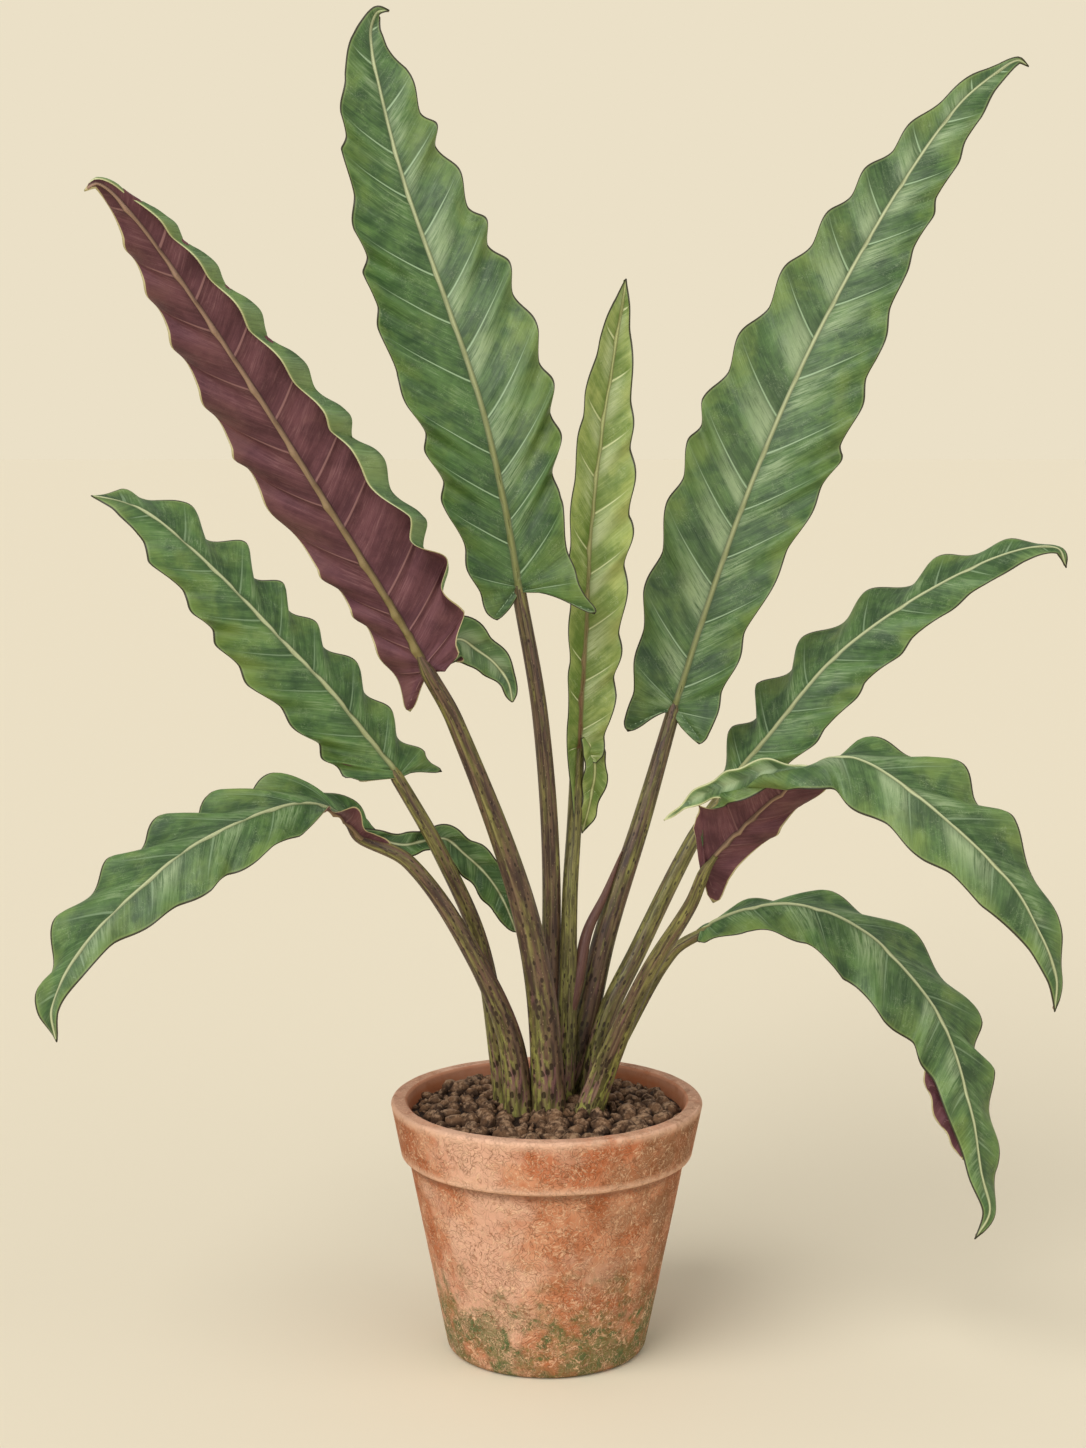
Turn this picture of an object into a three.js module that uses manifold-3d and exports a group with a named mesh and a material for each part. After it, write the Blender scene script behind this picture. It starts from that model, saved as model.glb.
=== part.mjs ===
// Alocasia lauterbachiana, nine leaves in a terracotta pot.
// Millimetres, +Z up, front towards -Y. The plant is drawn about the pot's axis, then moved so
// that the origin lies under the middle of the whole outline, level with the pot's underside.

import * as THREE from 'three';
import { mergeVertices } from 'three/addons/utils/BufferGeometryUtils.js';
import Module from 'manifold-3d';

const wasm = await Module();
wasm.setup();

// Driving dimensions.

const FIT_GAP = 0.3;                  // clearance between pieces that touch
const SAME_PLACE = 1e-4;              // corners nearer than this are one corner

const POT = {
  height: 165,
  rimRadius: 100,
  rimWall: 10.5,
  bandHeight: 36,
  bandFoot: 94,                       // radius at the band's lower edge
  neckRadius: 89,                     // radius of the body just under the band
  footRadius: 65,
  wall: 9,
  floor: 11,
  drainRadius: 10,
  edgeRound: 4,
  footRound: 6,
  bandShadow: 1,                      // how far the neck ends below the band's lower edge
  segments: 40,
  edgeSteps: 3,
  footSteps: 4,
};

const SOIL = {
  belowRim: 10,                       // how far the soil lies below the rim at the wall
  dome: 6,                            // how much higher it is round the stems
  lump: 1.2,
  lumpAcross: 0.31,                   // how fast the lumps follow each other, in radians per mm
  lumpAlong: 0.27,
  lumpSkew: 0.05,
  rings: 7,
};

const STALK = {
  sides: 8,
  steps: 12,
  taper: 0.6,                         // below 1, most of the narrowing is near the foot
  buried: 14,                         // how deep each stalk stands in the soil
  neckGap: 7,                         // where the stalk ends, short of the blade's joint
};

const BLADE = {
  thickness: 1.3,
  ribRadius: 3.0,
  ribTip: 0.8,
  ribTaper: 0.7,
  ribTail: 5,                         // how far the rib runs on behind the joint
  ribSides: 5,
  ribSteps: 12,
  rowsPerWave: 3,
  fewestRows: 24,
  columns: [0, 1 / 3, 2 / 3, 1],      // where the corners of a row lie, as shares of its width
  creaseWidth: 0.13,                  // how sharply a margin is turned over, as such a share
  lobeRows: 4,                        // rows that round off the end of a back lobe
  lean: 0.75,                         // how far the side veins run forward, per mm sideways
  ripple: 4.6,                        // how far the margin waves up and down
  scallop: 3,                         // how far the margin waves in and out
  tipWidth: 0.7,
  fanBehind: 0.35,                    // where the fan of veins starts, as a share of the lobe
  fanHalf: 4,                         // half the length of midrib that the fan springs from
  notchPower: 1.1,
  blunt: 8,                           // width of a back lobe's end
  bluntShare: 0.4,                    // and the most of its reach that this may take
  lobeRound: 6,
  leastOpen: 0.12,                    // how wide the very end stays, so that it is never a point
  leadFades: 24,                      // how far past a lobe its lead dies away
  lobePower: 1.2,
  scallopPower: 1.6,
  rippleTurn: -1,                     // how far the ripples lag behind the bulges, in radians
  rippleGrowth: 1.6,                  // how the ripple grows from the midrib to the margin
  curlPower: 1.5,
  calmFoot: 0.08,                     // shares of the margin over which the waves die away
  calmTip: 0.12,
  calmWidth: 30,                      // half-width below which the waves shrink
  calmLeast: 0.15,
};

const FLAP = {
  rows: 12,
  fold: 0.2,                          // how far its edges rise, per mm sideways
};

// Where along a blade its half-widths are given, as shares of its length from the joint.
const STATIONS = [0, 0.12, 0.25, 0.37, 0.5, 0.62, 0.75, 0.87, 0.95, 1];

// Each leaf: a stalk from its foot in the soil to the joint, a blade along a rib from the joint
// to the tip, and the back lobes, which follow the rib's line backwards to the tail point.
// Faces are the directions that the upper side looks in, evenly spaced along the rib.
// A half has its widths, its back lobe's length and reach, and the fold and the margin's curl
// in degrees at even steps along the rib, up from flat. Where a margin is turned right over, the
// crease gives the share of the width at which it starts. The notch power below 1 hollows the
// notch's edge, and the lead carries a back lobe forwards, at even steps out to its end.
// A flap is a back lobe that hangs apart from the rest of its blade.
const LEAVES = [
  {
    name: 'upper_left',
    foot: [2, -19], footRadius: 9.5, neckRadius: 5,
    stalk: [[-4, -30, 242], [-19, -42, 314], [-56, -62, 418]],
    rib: [[-72, -70, 452], [-92, -80, 489], [-133, -103, 559], [-167, -128, 618], [-213, -163, 693],
      [-234, -180, 722], [-244, -187, 730], [-251, -190, 726]],
    tail: [-55, -62, 420],
    faces: [[0.2, 0.9, 0.3], [0.15, 0.9, 0.35], [0.1, 0.9, 0.4]],
    waves: 10,
    right: { width: [27, 28, 35, 39, 39, 34, 27, 17, 7], lobe: 25, reach: 33, notch: 0.75, fold: [14],
      curl: [5] },
    left: { width: [22, 43, 54, 53, 47, 38, 29, 18, 7], lobe: 7, reach: 10, ripple: 0.3, fold: [14],
      curl: [0, -60, -120, -165, -165, -165, -140, -80, 0],
      crease: [0.72, 0.72, 0.7, 0.7, 0.7, 0.68, 0.68, 0.66, 0.66] },
    flap: {
      path: [[-71, -68, 453], [-60, -58, 465], [-52, -54, 467], [-42, -52, 460], [-32, -50, 452],
        [-24, -50, 441], [-21, -50, 428]],
      width: [5, 12, 14, 12.5, 9.5, 6.5, 2], face: [0.1, -1, 0.25],
    },
  },
  {
    name: 'tall_left',
    foot: [-9, 3], footRadius: 8, neckRadius: 5,
    stalk: [[0, 11, 207], [3, 22, 304], [-4, 24, 408]],
    rib: [[-18, 30, 492], [-26, 38, 538], [-42, 54, 606], [-66, 76, 675], [-93, 100, 750],
      [-110, 120, 813], [-116, 131, 846], [-114, 134, 856], [-105, 130, 863]],
    tail: [-12, 26, 458],
    faces: [[0.1, -1, 0.1], [0.2, -1, 0.1], [0.3, -0.9, 0.2]],
    waves: 11,
    right: { width: [39, 35, 45, 48, 44, 37, 29, 19, 6], lobe: 26, reach: 52, notch: 0.55,
      fold: [28, 14, 14, 14, 14], curl: [-5] },
    left: { width: [27, 37, 43, 50, 48, 42, 35, 24, 9], lobe: 19, reach: 22, fold: [14], curl: [-5] },
  },
  {
    name: 'young_middle',
    foot: [9, 1], footRadius: 6.5, neckRadius: 4.5,
    stalk: [[13, 6, 201], [15, 20, 292], [18, 36, 338]],
    rib: [[21, 42, 386], [25, 43, 461], [28, 42, 525], [35, 41, 590], [41, 40, 629], [47, 38, 667],
      [50, 37, 686]],
    tail: [25, 41, 329],
    faces: [[0.2, -1, 0.1]],
    waves: 9,
    right: { width: [22, 23, 24, 27, 29, 25, 18, 11, 5], lobe: 60, reach: 14, ripple: 0.8,
      fold: [40, 40, 30], curl: [0] },
    left: { width: [14, 15, 18, 20, 22, 22, 20, 15, 8], lobe: 60, reach: 10, ripple: 0.35,
      fold: [35, 35, 30], curl: [0] },
  },
  {
    name: 'tall_right',
    foot: [6, 19], footRadius: 9, neckRadius: 5,
    stalk: [[22, 22, 197], [38, 33, 264], [62, 49, 337]],
    rib: [[84, 66, 410], [104, 82, 469], [131, 101, 542], [166, 124, 622], [202, 146, 690],
      [242, 168, 755], [281, 190, 807], [307, 202, 829], [324, 208, 839], [332, 210, 835]],
    tail: [74, 62, 382],
    faces: [[-0.1, -1, 0.1], [-0.25, -1, 0.15], [-0.3, -0.9, 0.2]],
    waves: 12,
    right: { width: [28, 32, 43, 51, 47, 36, 29, 20, 8], lobe: 18, reach: 28, notch: 1.4, fold: [14],
      curl: [-5] },
    left: { width: [30, 41, 46, 49, 42, 34, 23, 12, 6], lobe: 26, reach: 28, notch: 0.6, fold: [14],
      curl: [-5] },
  },
  {
    name: 'back_right',
    foot: [25, 11], footRadius: 7, neckRadius: 5,
    stalk: [[37, 16, 209], [59, 30, 254], [95, 52, 322]],
    rib: [[115, 61, 354], [146, 74, 389], [190, 92, 438], [239, 106, 473], [292, 118, 500],
      [325, 124, 510], [345, 127, 509], [351, 128, 496]],
    tail: [100, 52, 330],
    faces: [[-0.35, -0.6, 0.75], [-0.35, -0.55, 0.75], [-0.1, -0.5, 0.85]],
    waves: 7,
    right: { width: [15, 26, 31, 32, 29, 23, 18, 11, 5], lobe: 7, reach: 9, fold: [-10], curl: [-8] },
    left: { width: [13, 27, 37, 36, 36, 31, 25, 15, 6], lobe: 7, reach: 9, fold: [-10], curl: [-8] },
  },
  {
    name: 'front_right',
    foot: [22, -17], footRadius: 8, neckRadius: 4.5,
    stalk: [[39, -26, 197], [63, -47, 258], [88, -64, 305]],
    rib: [[96, -68, 329], [109, -78, 347], [126, -91, 367], [140, -104, 383], [152, -115, 395],
      [162, -124, 404], [175, -132, 407], [194, -142, 400], [229, -157, 374], [265, -166, 339],
      [280, -170, 314], [291, -172, 287], [291, -172, 265]],
    tail: [88, -62, 314],
    faces: [[-0.1, 0.9, 0.45], [-0.1, 0.85, 0.5], [-0.25, 0.65, 0.65], [0, -0.1, 1], [0.1, -0.6, 0.8],
      [0.2, -0.7, 0.7], [0.35, -0.75, 0.55], [0.4, -0.8, 0.5], [0.5, -0.8, 0.4]],
    waves: 7,
    right: { width: [44, 57, 50, 35, 29, 27, 22, 12, 5], lobe: 7, reach: 42,
      ripple: 0.3, lead: [0, 7, 14, 20, 24, 26],
      fold: [0, 0, 0, -5, -10, -12, -12, -12, -12],
      curl: [-130, -160, -150, -60, -10, -10, -10, -10, -10],
      crease: [0.72, 0.7, 0.62, 0.58, 0.5, 0.5, 0.5, 0.5, 0.5] },
    left: { width: [17, 21, 23, 30, 38, 38, 29, 16, 7], lobe: 15, reach: 20, notch: 0.9,
      fold: [0, 0, -4, -8, -12, -12], curl: [0] },
  },
  {
    name: 'low_right',
    foot: [30, -1], footRadius: 6.5, neckRadius: 4,
    stalk: [[34, -4, 176], [52, -10, 215], [80, -18, 265]],
    rib: [[100, -24, 283], [122, -30, 294], [147, -38, 300], [169, -46, 298], [188, -54, 291],
      [208, -62, 277], [241, -78, 236], [259, -92, 179], [264, -98, 146], [269, -102, 123],
      [260, -104, 106]],
    tail: [84, -20, 270],
    faces: [[-0.2, -0.2, 0.95], [0.1, -0.4, 0.9], [0.35, -0.65, 0.65], [0.5, -0.8, 0.4]],
    waves: 7,
    right: { width: [16, 22, 30, 36, 32, 23, 15, 9, 4], lobe: 9, reach: 11, fold: [-14], curl: [-6] },
    left: { width: [14, 22, 30, 36, 38, 31, 25, 16, 6], lobe: 9, reach: 11, fold: [-14], curl: [-6] },
  },
  {
    name: 'mid_left',
    foot: [-25, 1], footRadius: 7, neckRadius: 5,
    stalk: [[-30, -4, 191], [-42, -20, 270], [-66, -42, 333]],
    rib: [[-92, -46, 384], [-111, -43, 407], [-134, -38, 435], [-159, -32, 460], [-203, -19, 504],
      [-244, -4, 538], [-263, 2, 547], [-286, 10, 551]],
    tail: [-79, -44, 366],
    faces: [[0.25, -0.7, 0.65], [0.25, -0.6, 0.75], [0.2, -0.55, 0.8]],
    waves: 8,
    right: { width: [30, 26, 30, 30, 32, 33, 29, 23, 15], lobe: 31, reach: 40, fold: [-10], curl: [-8] },
    left: { width: [30, 29, 33, 36, 33, 28, 25, 14, 6], lobe: 24, reach: 26, fold: [-10], curl: [-8] },
  },
  {
    name: 'low_left',
    foot: [-17, -18], footRadius: 7.5, neckRadius: 4.5,
    stalk: [[-24, -28, 213], [-51, -46, 279], [-85, -52, 329]],
    rib: [[-114, -50, 346], [-127, -60, 361], [-142, -72, 369], [-158, -86, 370], [-184, -104, 363],
      [-213, -118, 349], [-237, -130, 330], [-259, -140, 310], [-277, -150, 287], [-287, -157, 263],
      [-284, -160, 244]],
    tail: [-98, -46, 336],
    faces: [[0.1, -0.45, 0.9], [-0.05, -0.35, 0.95], [-0.3, -0.75, 0.6], [-0.45, -0.85, 0.4]],
    waves: 7,
    right: { width: [17, 34, 46, 48, 44, 38, 32, 20, 9], lobe: 9, reach: 12, fold: [-5, -14, -14],
      curl: [-6] },
    left: { width: [13, 20, 28, 31, 31, 23, 14, 8, 4], lobe: 32, reach: 8,
      fold: [70, 34, -6, -14, -14, -14, -14, -14, -14], curl: [-6] },
    flap: {
      path: [[-113, -50, 346], [-90, -42, 338], [-76, -34, 339], [-63, -28, 339], [-52, -24, 329],
        [-40, -20, 317], [-29, -18, 301], [-19, -16, 277]],
      width: [4, 7, 7, 8.5, 11, 12, 10, 3], face: [0.1, -1, 0.3],
    },
  },
];

// Colours.

const CLAY = { color: 0xc47d55, roughness: 0.9, metalness: 0 };
const EARTH = { color: 0x3a2a22, roughness: 1, metalness: 0 };
const GREEN = { color: 0x4b7346, roughness: 0.45, metalness: 0 };
const YOUNG_GREEN = { color: 0x8ca055, roughness: 0.45, metalness: 0 };
const STEM_BROWN = { color: 0x5a483c, roughness: 0.5, metalness: 0 };

// Solids.

// A closed mesh, its shared corners merged, as a solid that can be joined and cut.
function toSolid(geometry) {
  const bare = geometry.clone();
  bare.deleteAttribute('normal');
  bare.deleteAttribute('uv');
  const merged = mergeVertices(bare, SAME_PLACE);
  return new wasm.Manifold(new wasm.Mesh({
    numProp: 3,
    vertProperties: Float32Array.from(merged.attributes.position.array),
    triVerts: Uint32Array.from(merged.index.array),
  }));
}

function toGeometry(solid) {
  const mesh = solid.getMesh();
  const geometry = new THREE.BufferGeometry();
  geometry.setAttribute('position', new THREE.BufferAttribute(mesh.vertProperties, 3));
  geometry.setIndex(new THREE.BufferAttribute(mesh.triVerts, 1));
  geometry.computeVertexNormals();
  return geometry;
}

// Moves every corner of a geometry to the place that a function gives for it.
function bend(geometry, place) {
  const position = geometry.attributes.position;
  const corner = new THREE.Vector3();
  for (let i = 0; i < position.count; i += 1) {
    corner.fromBufferAttribute(position, i);
    const moved = place(corner);
    position.setXYZ(i, moved.x, moved.y, moved.z);
  }
  return geometry;
}

function piece(name, geometry, finish) {
  const mesh = new THREE.Mesh(geometry, new THREE.MeshStandardMaterial(finish));
  mesh.name = name;
  return mesh;
}

// Curves.

const vector = (p) => new THREE.Vector3(p[0], p[1], p[2]);

// A smooth curve through points, read by the distance along its chords; straight past its ends.
class PathCurve {
  constructor(points) {
    this.points = points.map(vector);
    this.at = [0];
    for (let i = 1; i < points.length; i += 1) {
      this.at.push(this.at[i - 1] + this.points[i].distanceTo(this.points[i - 1]));
    }
    this.length = this.at[points.length - 1];
    this.slopes = this.points.map((_, i) => {
      const before = Math.max(i - 1, 0);
      const after = Math.min(i + 1, points.length - 1);
      return this.points[after].clone().sub(this.points[before])
        .divideScalar(this.at[after] - this.at[before]);
    });
  }

  point(distance) {
    const last = this.points.length - 1;
    const inside = THREE.MathUtils.clamp(distance, 0, this.length);
    let i = 0;
    while (i < last - 1 && inside > this.at[i + 1]) i += 1;
    const span = this.at[i + 1] - this.at[i];
    const u = (inside - this.at[i]) / span;
    const slope = distance < 0 ? this.slopes[0] : this.slopes[last];
    return new THREE.Vector3()
      .addScaledVector(this.points[i], (1 + 2 * u) * (1 - u) ** 2)
      .addScaledVector(this.slopes[i], span * u * (1 - u) ** 2)
      .addScaledVector(this.points[i + 1], u * u * (3 - 2 * u))
      .addScaledVector(this.slopes[i + 1], span * u * u * (u - 1))
      .addScaledVector(slope, distance - inside);
  }

  direction(distance) {
    return this.point(distance + 1).sub(this.point(distance - 1)).normalize();
  }
}

// Reads a list of numbers given at places from 0 to 1, straight between them.
function between(values, share, places) {
  const last = values.length - 1;
  if (last === 0) return values[0];
  const at = places ?? values.map((_, i) => i / last);
  const inside = THREE.MathUtils.clamp(share, 0, 1);
  let i = 0;
  while (i < last - 1 && inside > at[i + 1]) i += 1;
  return THREE.MathUtils.lerp(values[i], values[i + 1], (inside - at[i]) / (at[i + 1] - at[i]));
}

// A round rod along a path, from one distance to another, with its radius given by a function.
function rod(path, from, to, radiusAt, sides, steps) {
  const start = path.direction((from + to) / 2);
  const side = new THREE.Vector3(0, 1, 0).cross(start).normalize();
  return bend(new THREE.CylinderGeometry(1, 1, 1, sides, steps), (corner) => {
    const share = corner.y + 0.5;
    const distance = THREE.MathUtils.lerp(from, to, share);
    const along = path.direction(distance);
    const across = side.clone().addScaledVector(along, -side.dot(along)).normalize();
    const up = across.clone().cross(along);
    const radius = radiusAt(share);
    return path.point(distance)
      .addScaledVector(across, corner.x * radius)
      .addScaledVector(up, corner.z * radius);
  });
}

// Pot and soil.

// Turns an outline of radius and height about the upright axis.
function turned(outline, segments) {
  const points = outline.map(([radius, height]) => new THREE.Vector2(radius, height));
  return new THREE.LatheGeometry(points, segments).rotateX(Math.PI / 2);
}

// Points of a quarter-round edge from one corner of a profile to another.
function rounded(centre, radius, fromDegrees, toDegrees, steps) {
  return Array.from({ length: steps + 1 }, (_, i) => {
    const angle = THREE.MathUtils.degToRad(
      THREE.MathUtils.lerp(fromDegrees, toDegrees, i / steps));
    return [centre[0] + radius * Math.cos(angle), centre[1] + radius * Math.sin(angle)];
  });
}

const bandBottom = POT.height - POT.bandHeight;
const innerRim = POT.rimRadius - POT.rimWall;
const innerFoot = POT.footRadius - POT.wall;
const innerRadiusAt = (height) =>
  THREE.MathUtils.mapLinear(height, POT.floor, POT.height, innerFoot, innerRim);

function potOutline() {
  const { edgeRound: edge, footRound: foot, edgeSteps } = POT;
  const lean = THREE.MathUtils.radToDeg(Math.atan2(POT.neckRadius - POT.footRadius, bandBottom));
  const outline = [
    [POT.drainRadius, 0],
    ...rounded([POT.footRadius - foot, foot], foot, -90, -lean, POT.footSteps),
    [POT.neckRadius, bandBottom - POT.bandShadow],
    ...rounded([POT.bandFoot - edge, bandBottom + edge], edge, -90, 0, edgeSteps),
    ...rounded([POT.rimRadius - edge, POT.height - edge], edge, 0, 90, edgeSteps),
    ...rounded([innerRim + edge, POT.height - edge], edge, 90, 180, edgeSteps),
    [innerFoot, POT.floor],
    [POT.drainRadius, POT.floor],
  ];
  return [...outline, outline[0]];
}

function pot() {
  return piece('terracotta_pot', toGeometry(toSolid(turned(potOutline(), POT.segments))), CLAY);
}

// Fills the pot from its floor, and has a socket for each stalk's foot.
function soil(stalkSockets) {
  const edgeHeight = POT.height - SOIL.belowRim;
  const bottom = POT.floor + FIT_GAP;
  const edgeRadius = innerRadiusAt(edgeHeight) - FIT_GAP;
  const surface = Array.from({ length: SOIL.rings }, (_, i) => {
    const share = 1 - i / SOIL.rings;
    return [edgeRadius * share, edgeHeight + SOIL.dome * Math.cos(share * Math.PI / 2)];
  });
  const outline = [
    [0, bottom],
    [innerRadiusAt(bottom) - FIT_GAP, bottom],
    ...surface,
    [0, edgeHeight + SOIL.dome],
  ];
  const lumpy = bend(turned(outline, POT.segments), (corner) => {
    if (corner.z <= edgeHeight + FIT_GAP) return corner;
    const lump = Math.sin(corner.x * SOIL.lumpAcross + 1)
      * Math.cos(corner.y * SOIL.lumpAlong + corner.x * SOIL.lumpSkew);
    return new THREE.Vector3(corner.x, corner.y, corner.z + SOIL.lump * lump);
  });
  const filled = stalkSockets.reduce((body, socket) => body.subtract(socket), toSolid(lumpy));
  return piece('potting_soil', toGeometry(filled), EARTH);
}

const soilTopAt = (radius) => {
  const edgeHeight = POT.height - SOIL.belowRim;
  const share = Math.min(radius / innerRim, 1);
  return edgeHeight + SOIL.dome * Math.cos(share * Math.PI / 2);
};

// Stalks.

function stalkPath(leaf) {
  const [x, y] = leaf.foot;
  const top = soilTopAt(Math.hypot(x, y));
  return new PathCurve([[x, y, top - STALK.buried], ...leaf.stalk, leaf.rib[0]]);
}

// Thick and quickly narrowing at the foot, then slender up to the joint.
function stalkSolid(leaf, spare) {
  const path = stalkPath(leaf);
  const end = path.length - STALK.neckGap + spare;
  const radiusAt = (share) =>
    THREE.MathUtils.lerp(leaf.footRadius, leaf.neckRadius, share ** STALK.taper) + spare;
  return toSolid(rod(path, -spare, end, radiusAt, STALK.sides, STALK.steps));
}

// Blades.

// The blade's middle line from the tail through the joint to the tip; x is 0 at the joint.
class BladeLine {
  constructor(leaf) {
    this.path = new PathCurve([leaf.tail, ...leaf.rib]);
    this.back = this.path.at[1];
    this.length = this.path.length - this.back;
    this.faces = leaf.faces.map((face) => vector(face).normalize());
  }

  frame(x) {
    const origin = this.path.point(x + this.back);
    const forward = this.path.direction(x + this.back);
    const share = x / this.length;
    const up = new THREE.Vector3(
      between(this.faces.map((f) => f.x), share),
      between(this.faces.map((f) => f.y), share),
      between(this.faces.map((f) => f.z), share),
    );
    up.addScaledVector(forward, -up.dot(forward)).normalize();
    return { origin, forward, up, right: forward.clone().cross(up) };
  }
}

// A half's width from the middle line to the smooth margin, at x from the joint.
function smoothWidth(half, length, x) {
  const widths = [...half.width, BLADE.tipWidth];
  if (x >= 0) return between(widths, x / length, STATIONS);
  const share = THREE.MathUtils.clamp((x + half.lobe) / half.lobe, 0, 1);
  return half.reach + (widths[0] - half.reach) * Math.sin(share * Math.PI / 2) ** BLADE.lobePower;
}

// One row of a half: where it starts on the middle line, where it meets the margin, and how far
// from the middle line both of its ends lie.
function bladeRow(leaf, half, length, margin) {
  const smooth = smoothWidth(half, length, margin);
  const fan = BLADE.fanHalf;
  const fanBack = -BLADE.fanBehind * half.lobe;
  const fanFront = BLADE.lean * half.width[0];
  let start;
  if (margin < fanBack) {
    start = THREE.MathUtils.mapLinear(margin, fanBack, -half.lobe, -fan, -half.lobe);
  } else if (margin < fanFront) {
    start = THREE.MathUtils.mapLinear(margin, fanBack, fanFront, -fan, fan);
  } else {
    const free = fanFront - BLADE.lean * smoothWidth(half, length, fanFront);
    const led = margin - BLADE.lean * smooth - free;
    start = fan + led * (length - fan) / (length - BLADE.lean * BLADE.tipWidth - free);
  }
  const share = (margin + half.lobe) / (length + half.lobe);
  const notch = Math.max(0, (-start - fan) / (half.lobe - fan));
  const narrow = Math.max(smooth / BLADE.calmWidth, BLADE.calmLeast);
  const calm = Math.min(share / BLADE.calmFoot, (1 - share) / BLADE.calmTip, narrow, 1);
  const wave = 2 * Math.PI * leaf.waves * share;
  const crest = Math.abs(Math.sin(wave / 2)) ** BLADE.scallopPower;
  const blunt = Math.min(BLADE.blunt, BLADE.bluntShare * half.reach);
  const inner = (half.reach - blunt) * notch ** (half.notch ?? BLADE.notchPower);
  const outer = smooth + BLADE.scallop * calm * (2 * crest - 1);
  const closed = 1 - Math.min((margin + half.lobe) / BLADE.lobeRound, 1);
  const open = Math.max(Math.sqrt(1 - closed ** 2), BLADE.leastOpen) / 2;
  const along = margin / length;
  return {
    start,
    margin,
    inner: (inner + outer) / 2 + (inner - outer) * open,
    outer: (inner + outer) / 2 + (outer - inner) * open,
    lift: BLADE.ripple * (half.ripple ?? 1) * calm * Math.sin(wave + BLADE.rippleTurn),
    led: 1 - THREE.MathUtils.smoothstep(margin, -half.lobe, half.width[0] + BLADE.leadFades),
    fold: between(half.fold, along),
    curl: between(half.curl, along),
    crease: half.crease ? between(half.crease, along) : null,
  };
}

// Where the rows of a half meet the margin: close together round the end of its back lobe.
function rowPlaces(leaf, half, length) {
  const round = Math.min(BLADE.lobeRound, half.lobe / 2);
  const rows = Math.max(BLADE.fewestRows, BLADE.rowsPerWave * leaf.waves);
  const places = [];
  for (let i = 0; i < BLADE.lobeRows; i += 1) {
    places.push(-half.lobe + round * (i / BLADE.lobeRows) ** 2);
  }
  for (let i = 0; i <= rows; i += 1) {
    places.push(THREE.MathUtils.lerp(round - half.lobe, length, i / rows));
  }
  return places;
}

// Points of one half as a grid, from the middle line or the notch out to the margin.
function bladeGrid(leaf, line, sideName) {
  const half = leaf[sideName];
  const hand = sideName === 'right' ? 1 : -1;
  return rowPlaces(leaf, half, line.length).map((place) => {
    const row = bladeRow(leaf, half, line.length, place);
    const fold = THREE.MathUtils.degToRad(row.fold);
    const curl = THREE.MathUtils.degToRad(row.curl);
    const turn = row.crease === null
      ? (v) => fold + curl * v ** BLADE.curlPower
      : (v) => fold + curl * THREE.MathUtils.smoothstep(v, row.crease, row.crease + BLADE.creaseWidth);
    const columns = row.crease === null
      ? BLADE.columns : [0, row.crease / 2, row.crease, row.crease + BLADE.creaseWidth, 1];
    let aside = row.inner * Math.cos(fold);
    let above = row.inner * Math.sin(fold);
    return columns.map((v, j) => {
      if (j > 0) {
        const angle = turn((v + columns[j - 1]) / 2);
        const step = (row.outer - row.inner) * (v - columns[j - 1]);
        aside += step * Math.cos(angle);
        above += step * Math.sin(angle);
      }
      const slope = turn(v);
      const lift = row.lift * v ** BLADE.rippleGrowth;
      const reached = THREE.MathUtils.lerp(row.inner, row.outer, v) / half.reach;
      const lead = row.led * between(half.lead ?? [0], reached);
      const frame = line.frame(THREE.MathUtils.lerp(row.start, row.margin, v) + lead);
      frame.origin
        .addScaledVector(frame.right, hand * (aside - lift * Math.sin(slope)))
        .addScaledVector(frame.up, above + lift * Math.cos(slope));
      return { at: frame.origin, along: frame.forward };
    });
  });
}

// Points of a flap as a grid: both of its edges and the middle line between them.
function flapGrid(flap) {
  const path = new PathCurve(flap.path);
  const face = vector(flap.face);
  return Array.from({ length: FLAP.rows + 1 }, (_, i) => {
    const share = i / FLAP.rows;
    const middle = path.point(share * path.length);
    const forward = path.direction(share * path.length);
    const up = face.clone().addScaledVector(forward, -face.dot(forward)).normalize();
    const right = forward.clone().cross(up);
    const width = between(flap.width, share);
    return [-1, 0, 1].map((hand) => ({
      at: middle.clone()
        .addScaledVector(right, hand * width)
        .addScaledVector(up, Math.abs(hand) * width * FLAP.fold),
      along: forward,
    }));
  });
}

// A thin sheet about a grid, with a face on either side of it. Both faces are split along the
// same diagonals, and stand off square to the rows, so that they never meet where it twists.
function sheet(grid, thickness) {
  const rows = grid.length - 1;
  const columns = grid[0].length - 1;
  const positions = [];
  for (const side of [0.5, -0.5]) {
    grid.forEach((row) => row.forEach((corner, j) => {
      const across = row[Math.min(j + 1, columns)].at.clone().sub(row[Math.max(j - 1, 0)].at);
      const normal = corner.along.clone().cross(across).normalize();
      positions.push(...corner.at.clone().addScaledVector(normal, side * thickness));
    }));
  }
  const below = (rows + 1) * (columns + 1);
  const at = (i, j) => i * (columns + 1) + j;
  const triangles = [];
  const wall = (p, q) => triangles.push(q, p, below + p, q, below + p, below + q);
  for (let i = 0; i < rows; i += 1) {
    for (let j = 0; j < columns; j += 1) {
      const [a, b, c, d] = [at(i, j), at(i + 1, j), at(i + 1, j + 1), at(i, j + 1)];
      triangles.push(a, b, c, a, c, d);
      triangles.push(below + a, below + c, below + b, below + a, below + d, below + c);
    }
    wall(at(i, 0), at(i + 1, 0));
    wall(at(i + 1, columns), at(i, columns));
  }
  for (let j = 0; j < columns; j += 1) {
    wall(at(rows, j), at(rows, j + 1));
    wall(at(0, j + 1), at(0, j));
  }
  const geometry = new THREE.BufferGeometry();
  geometry.setAttribute('position', new THREE.Float32BufferAttribute(positions, 3));
  geometry.setIndex(triangles);
  return geometry;
}

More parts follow.
